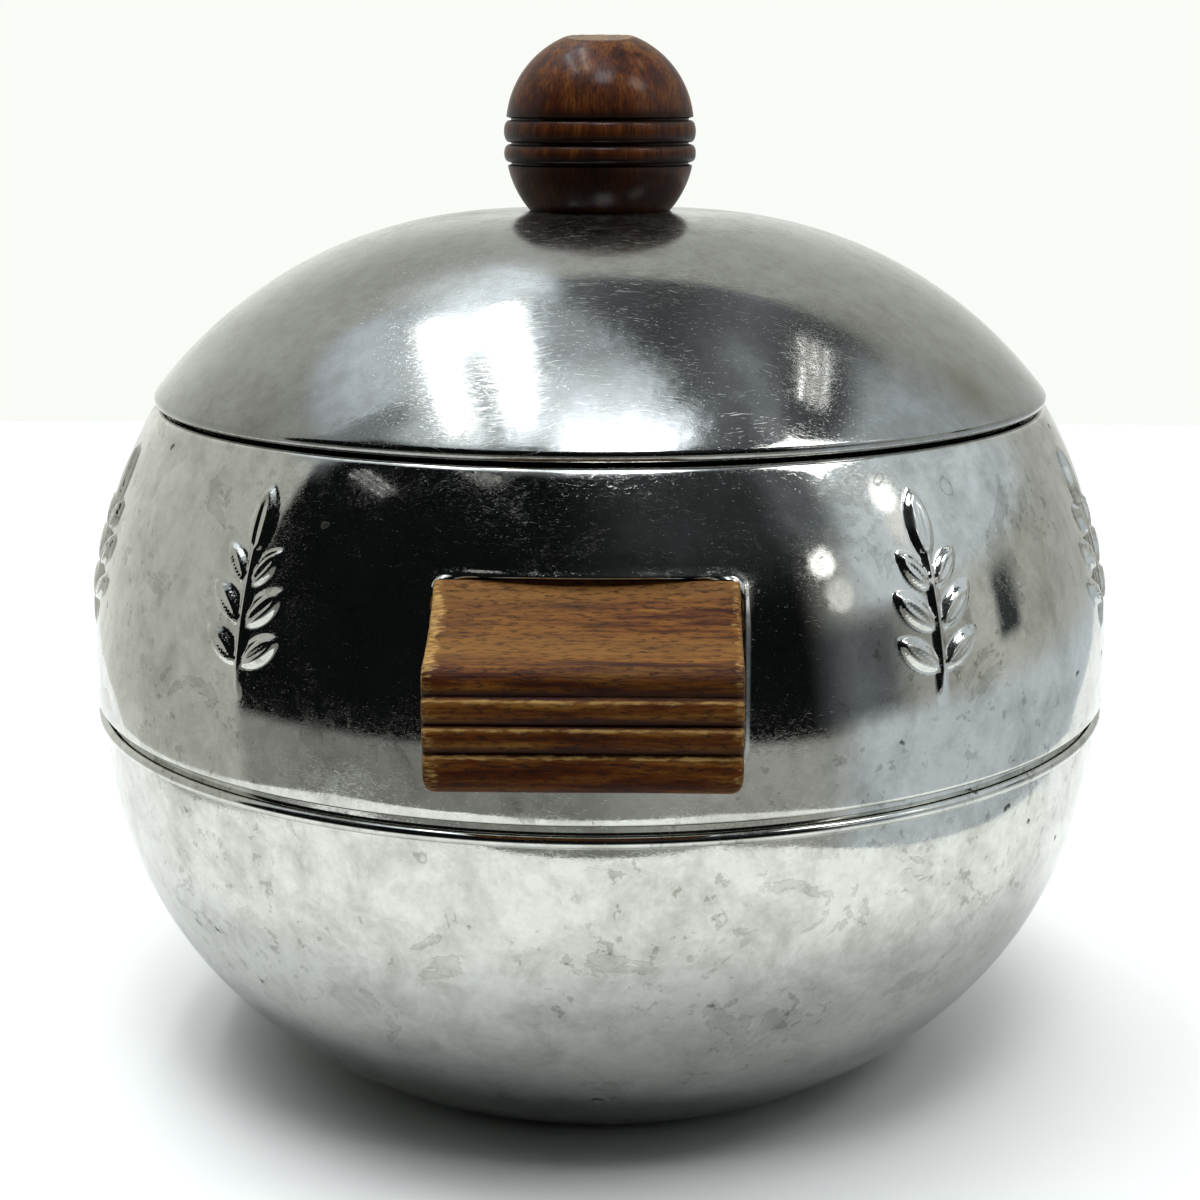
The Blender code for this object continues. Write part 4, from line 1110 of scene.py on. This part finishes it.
def buildHandle(name, facing, seed):
    low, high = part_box(name)
    back = high.y if facing < 0 else low.y
    depth, tall, width = high.y - low.y, high.z - low.z, high.x - low.x
    outline, grooves, crest = handleOutline(depth, tall)
    endRound = handle["endRound"]
    stretches = [(endRound, 5), (width - 2 * endRound, handle["columns"]), (endRound, 5)]
    bm = sweep(outline, stretches, turned=False, closed=True, marks=list(range(len(outline))))
    mark = bm.verts.layers.float["mark"]
    count = len(outline)
    normals = []
    for i in range(count):
        before, after = outline[i - 1], outline[(i + 1) % count]
        run = hypot(after[0] - before[0], after[1] - before[1])
        normals.append(((after[1] - before[1]) / run, -(after[0] - before[0]) / run))
    wear, dry, groove = [], [], []
    for vert in bm.verts:
        index = round(vert[mark])
        out, level = outline[index]
        x = vert.co.x - width / 2
        toEnd = width / 2 - abs(x)
        inset = 0
        if toEnd < endRound:
            inset = endRound - sqrt(max(0, endRound**2 - (endRound - toEnd) ** 2))
        onScoop = level > crest[1] - 0.001 and out > 0.001
        if out > 0.002:
            grain = noise.noise(Vector((x * 60, out * 500, level * 500 + seed)))
            inset += 0.00005 + 0.00006 * grain
            if onScoop and toEnd < handle["chipReach"]:
                chip = max(0, noise.noise(Vector((x * 900, out * 900, seed + 7))) + 0.25)
                inset += handle["chipDepth"] * chip * (1 - toEnd / handle["chipReach"])
        offOut, offLevel = normals[index]
        lift = 0
        if toEnd < handle["cornerRound"]:
            share = 1 - toEnd / handle["cornerRound"]
            lift = handle["cornerRound"] * (1 - sqrt(1 - share * share)) * (1 - smoothStep(level, 0, 0.008))
        vert.co = (x, facing * (out - inset * offOut) + back, low.z + level - inset * offLevel + lift)
        if out < 0.0005:
            vert.co.y = back
        off = min(abs(level - g) for g in grooves)
        above = min((level - g for g in grooves if level >= g), default=1)
        under = min((g - level for g in grooves if level < g), default=1)
        front = smoothStep(out, depth - 0.004, depth - 0.002)
        # painted shade on the underside of each rib, above each groove; a dark line at the groove, and pale
        # along the rubbed edge under it
        dark = 0.85 * (1 - smoothStep(above, 0.0001, 0.0018)) if off == above else (
            0.8 * (1 - smoothStep(under, 0.0001, 0.0003)))
        onNose = grooves[0] < level < crest[1]
        noseDark = handle["noseDark"] * smoothStep(x, -0.022, 0.006) if onNose else 0.12
        groove.append(front * max(dark, noseDark))
        edge = front * smoothStep(0.0013 - under, 0, 0.0008) * smoothStep(under, 0.0002, 0.0005)
        scoopDry = handle["scoopDry"] * smoothStep(level, crest[1] - 0.0004, crest[1] + 0.0012)
        scoopDry *= 1 - 0.55 * smoothStep(x, -0.004, 0.012)
        # painted sheen along the scoop's lip and top edge, laid in with the dry colour over dry wood
        lipDryAndSheen = handle["lipDryAndSheen"] * (1 - smoothStep(abs(level - crest[1] - 0.0010), 0, 0.0018))
        topDryAndSheen = handle["topDryAndSheen"] * smoothStep(level, tall - 0.0035, tall - 0.0008)
        dry.append(max(handle["edgeDry"] * edge, scoopDry + lipDryAndSheen + topDryAndSheen))
        patchy = noise.noise(Vector((x * 240, out * 420, level * 420 + seed)))
        reach = (0.0034 if x < 0 else 0.0022) * (1 + 0.7 * patchy)
        endWear = handle["leftWear" if x < 0 and onScoop else "endWear"]
        endWear *= 1 - smoothStep(toEnd, reach * 0.4, reach)
        wear.append(max(endWear, handle["edgeWear"] * edge * (1 + 0.5 * patchy)))
    storeAttributes(bm, {"wear": wear, "dry": dry, "groove": groove})
    rims = [e for e in bm.edges if e.is_boundary]
    bmesh.ops.holes_fill(bm, edges=rims, sides=0)
    finishPiece(name, bm, handleWood, "bucket", sharp=50)


buildHandle("handle_front", -1, 3.0)
buildHandle("handle_back", 1, 11.0)


# What stays inside: insulation and fasteners keep their CAD shapes

inside = {"wool": "#d9c98b", "woolDark": "#a8925a", "zinc": "#a9adb0", "zincDull": "#878a8a"}


# glass wool: matted pale yellow fibres
def woolMaterial():
    material, tree, shader, place = newMaterial("glass wool")
    fibre = addNode(tree, "TexNoise", None, {
        "Vector": place, "Scale": 420.0, "Detail": 8.0, "Roughness": 0.8, "Distortion": 1.5})
    clump = addNode(tree, "TexNoise", None, {"Vector": place, "Scale": 70.0, "Detail": 3.0})
    share = addNode(tree, "Math", {"operation": "MULTIPLY"}, {0: fibre, 1: clump})
    ramp = addNode(tree, "ValToRGB", {"stops": [
        (0.12, linear(inside["woolDark"])), (0.34, linear(inside["wool"]))]}, {0: share})
    linkSurface(tree, shader, 0.0, ramp, None, reliefOf(tree, ((fibre, 0.0012),)))
    shader.inputs["Roughness"].default_value = 0.95
    shader.inputs["Sheen Weight"].default_value = 0.3
    return material


# zinc plated steel: a soft grey metal with a faint crystal cloud
def zincMaterial():
    material, tree, shader, place = newMaterial("zinc plated steel")
    cloud = addNode(tree, "TexNoise", None, {"Vector": place, "Scale": 900.0, "Detail": 4.0})
    rough = addNode(tree, "MapRange", None, {0: cloud, 1: 0.3, 2: 0.7, 3: 0.28, 4: 0.45})
    linkSurface(tree, shader, 1.0, layColours(tree, "zinc", inside, ((cloud, "zincDull"),)), rough)
    return material


wool, zinc = woolMaterial(), zincMaterial()
for name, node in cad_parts.items():
    if "insulation" in name or "screw" in name or "washer" in name:
        finish = wool if "insulation" in name else zinc
        if not node.material_slots:
            node.data.materials.append(finish)
        for place in node.material_slots:
            place.material = finish
print("inside pieces finished")
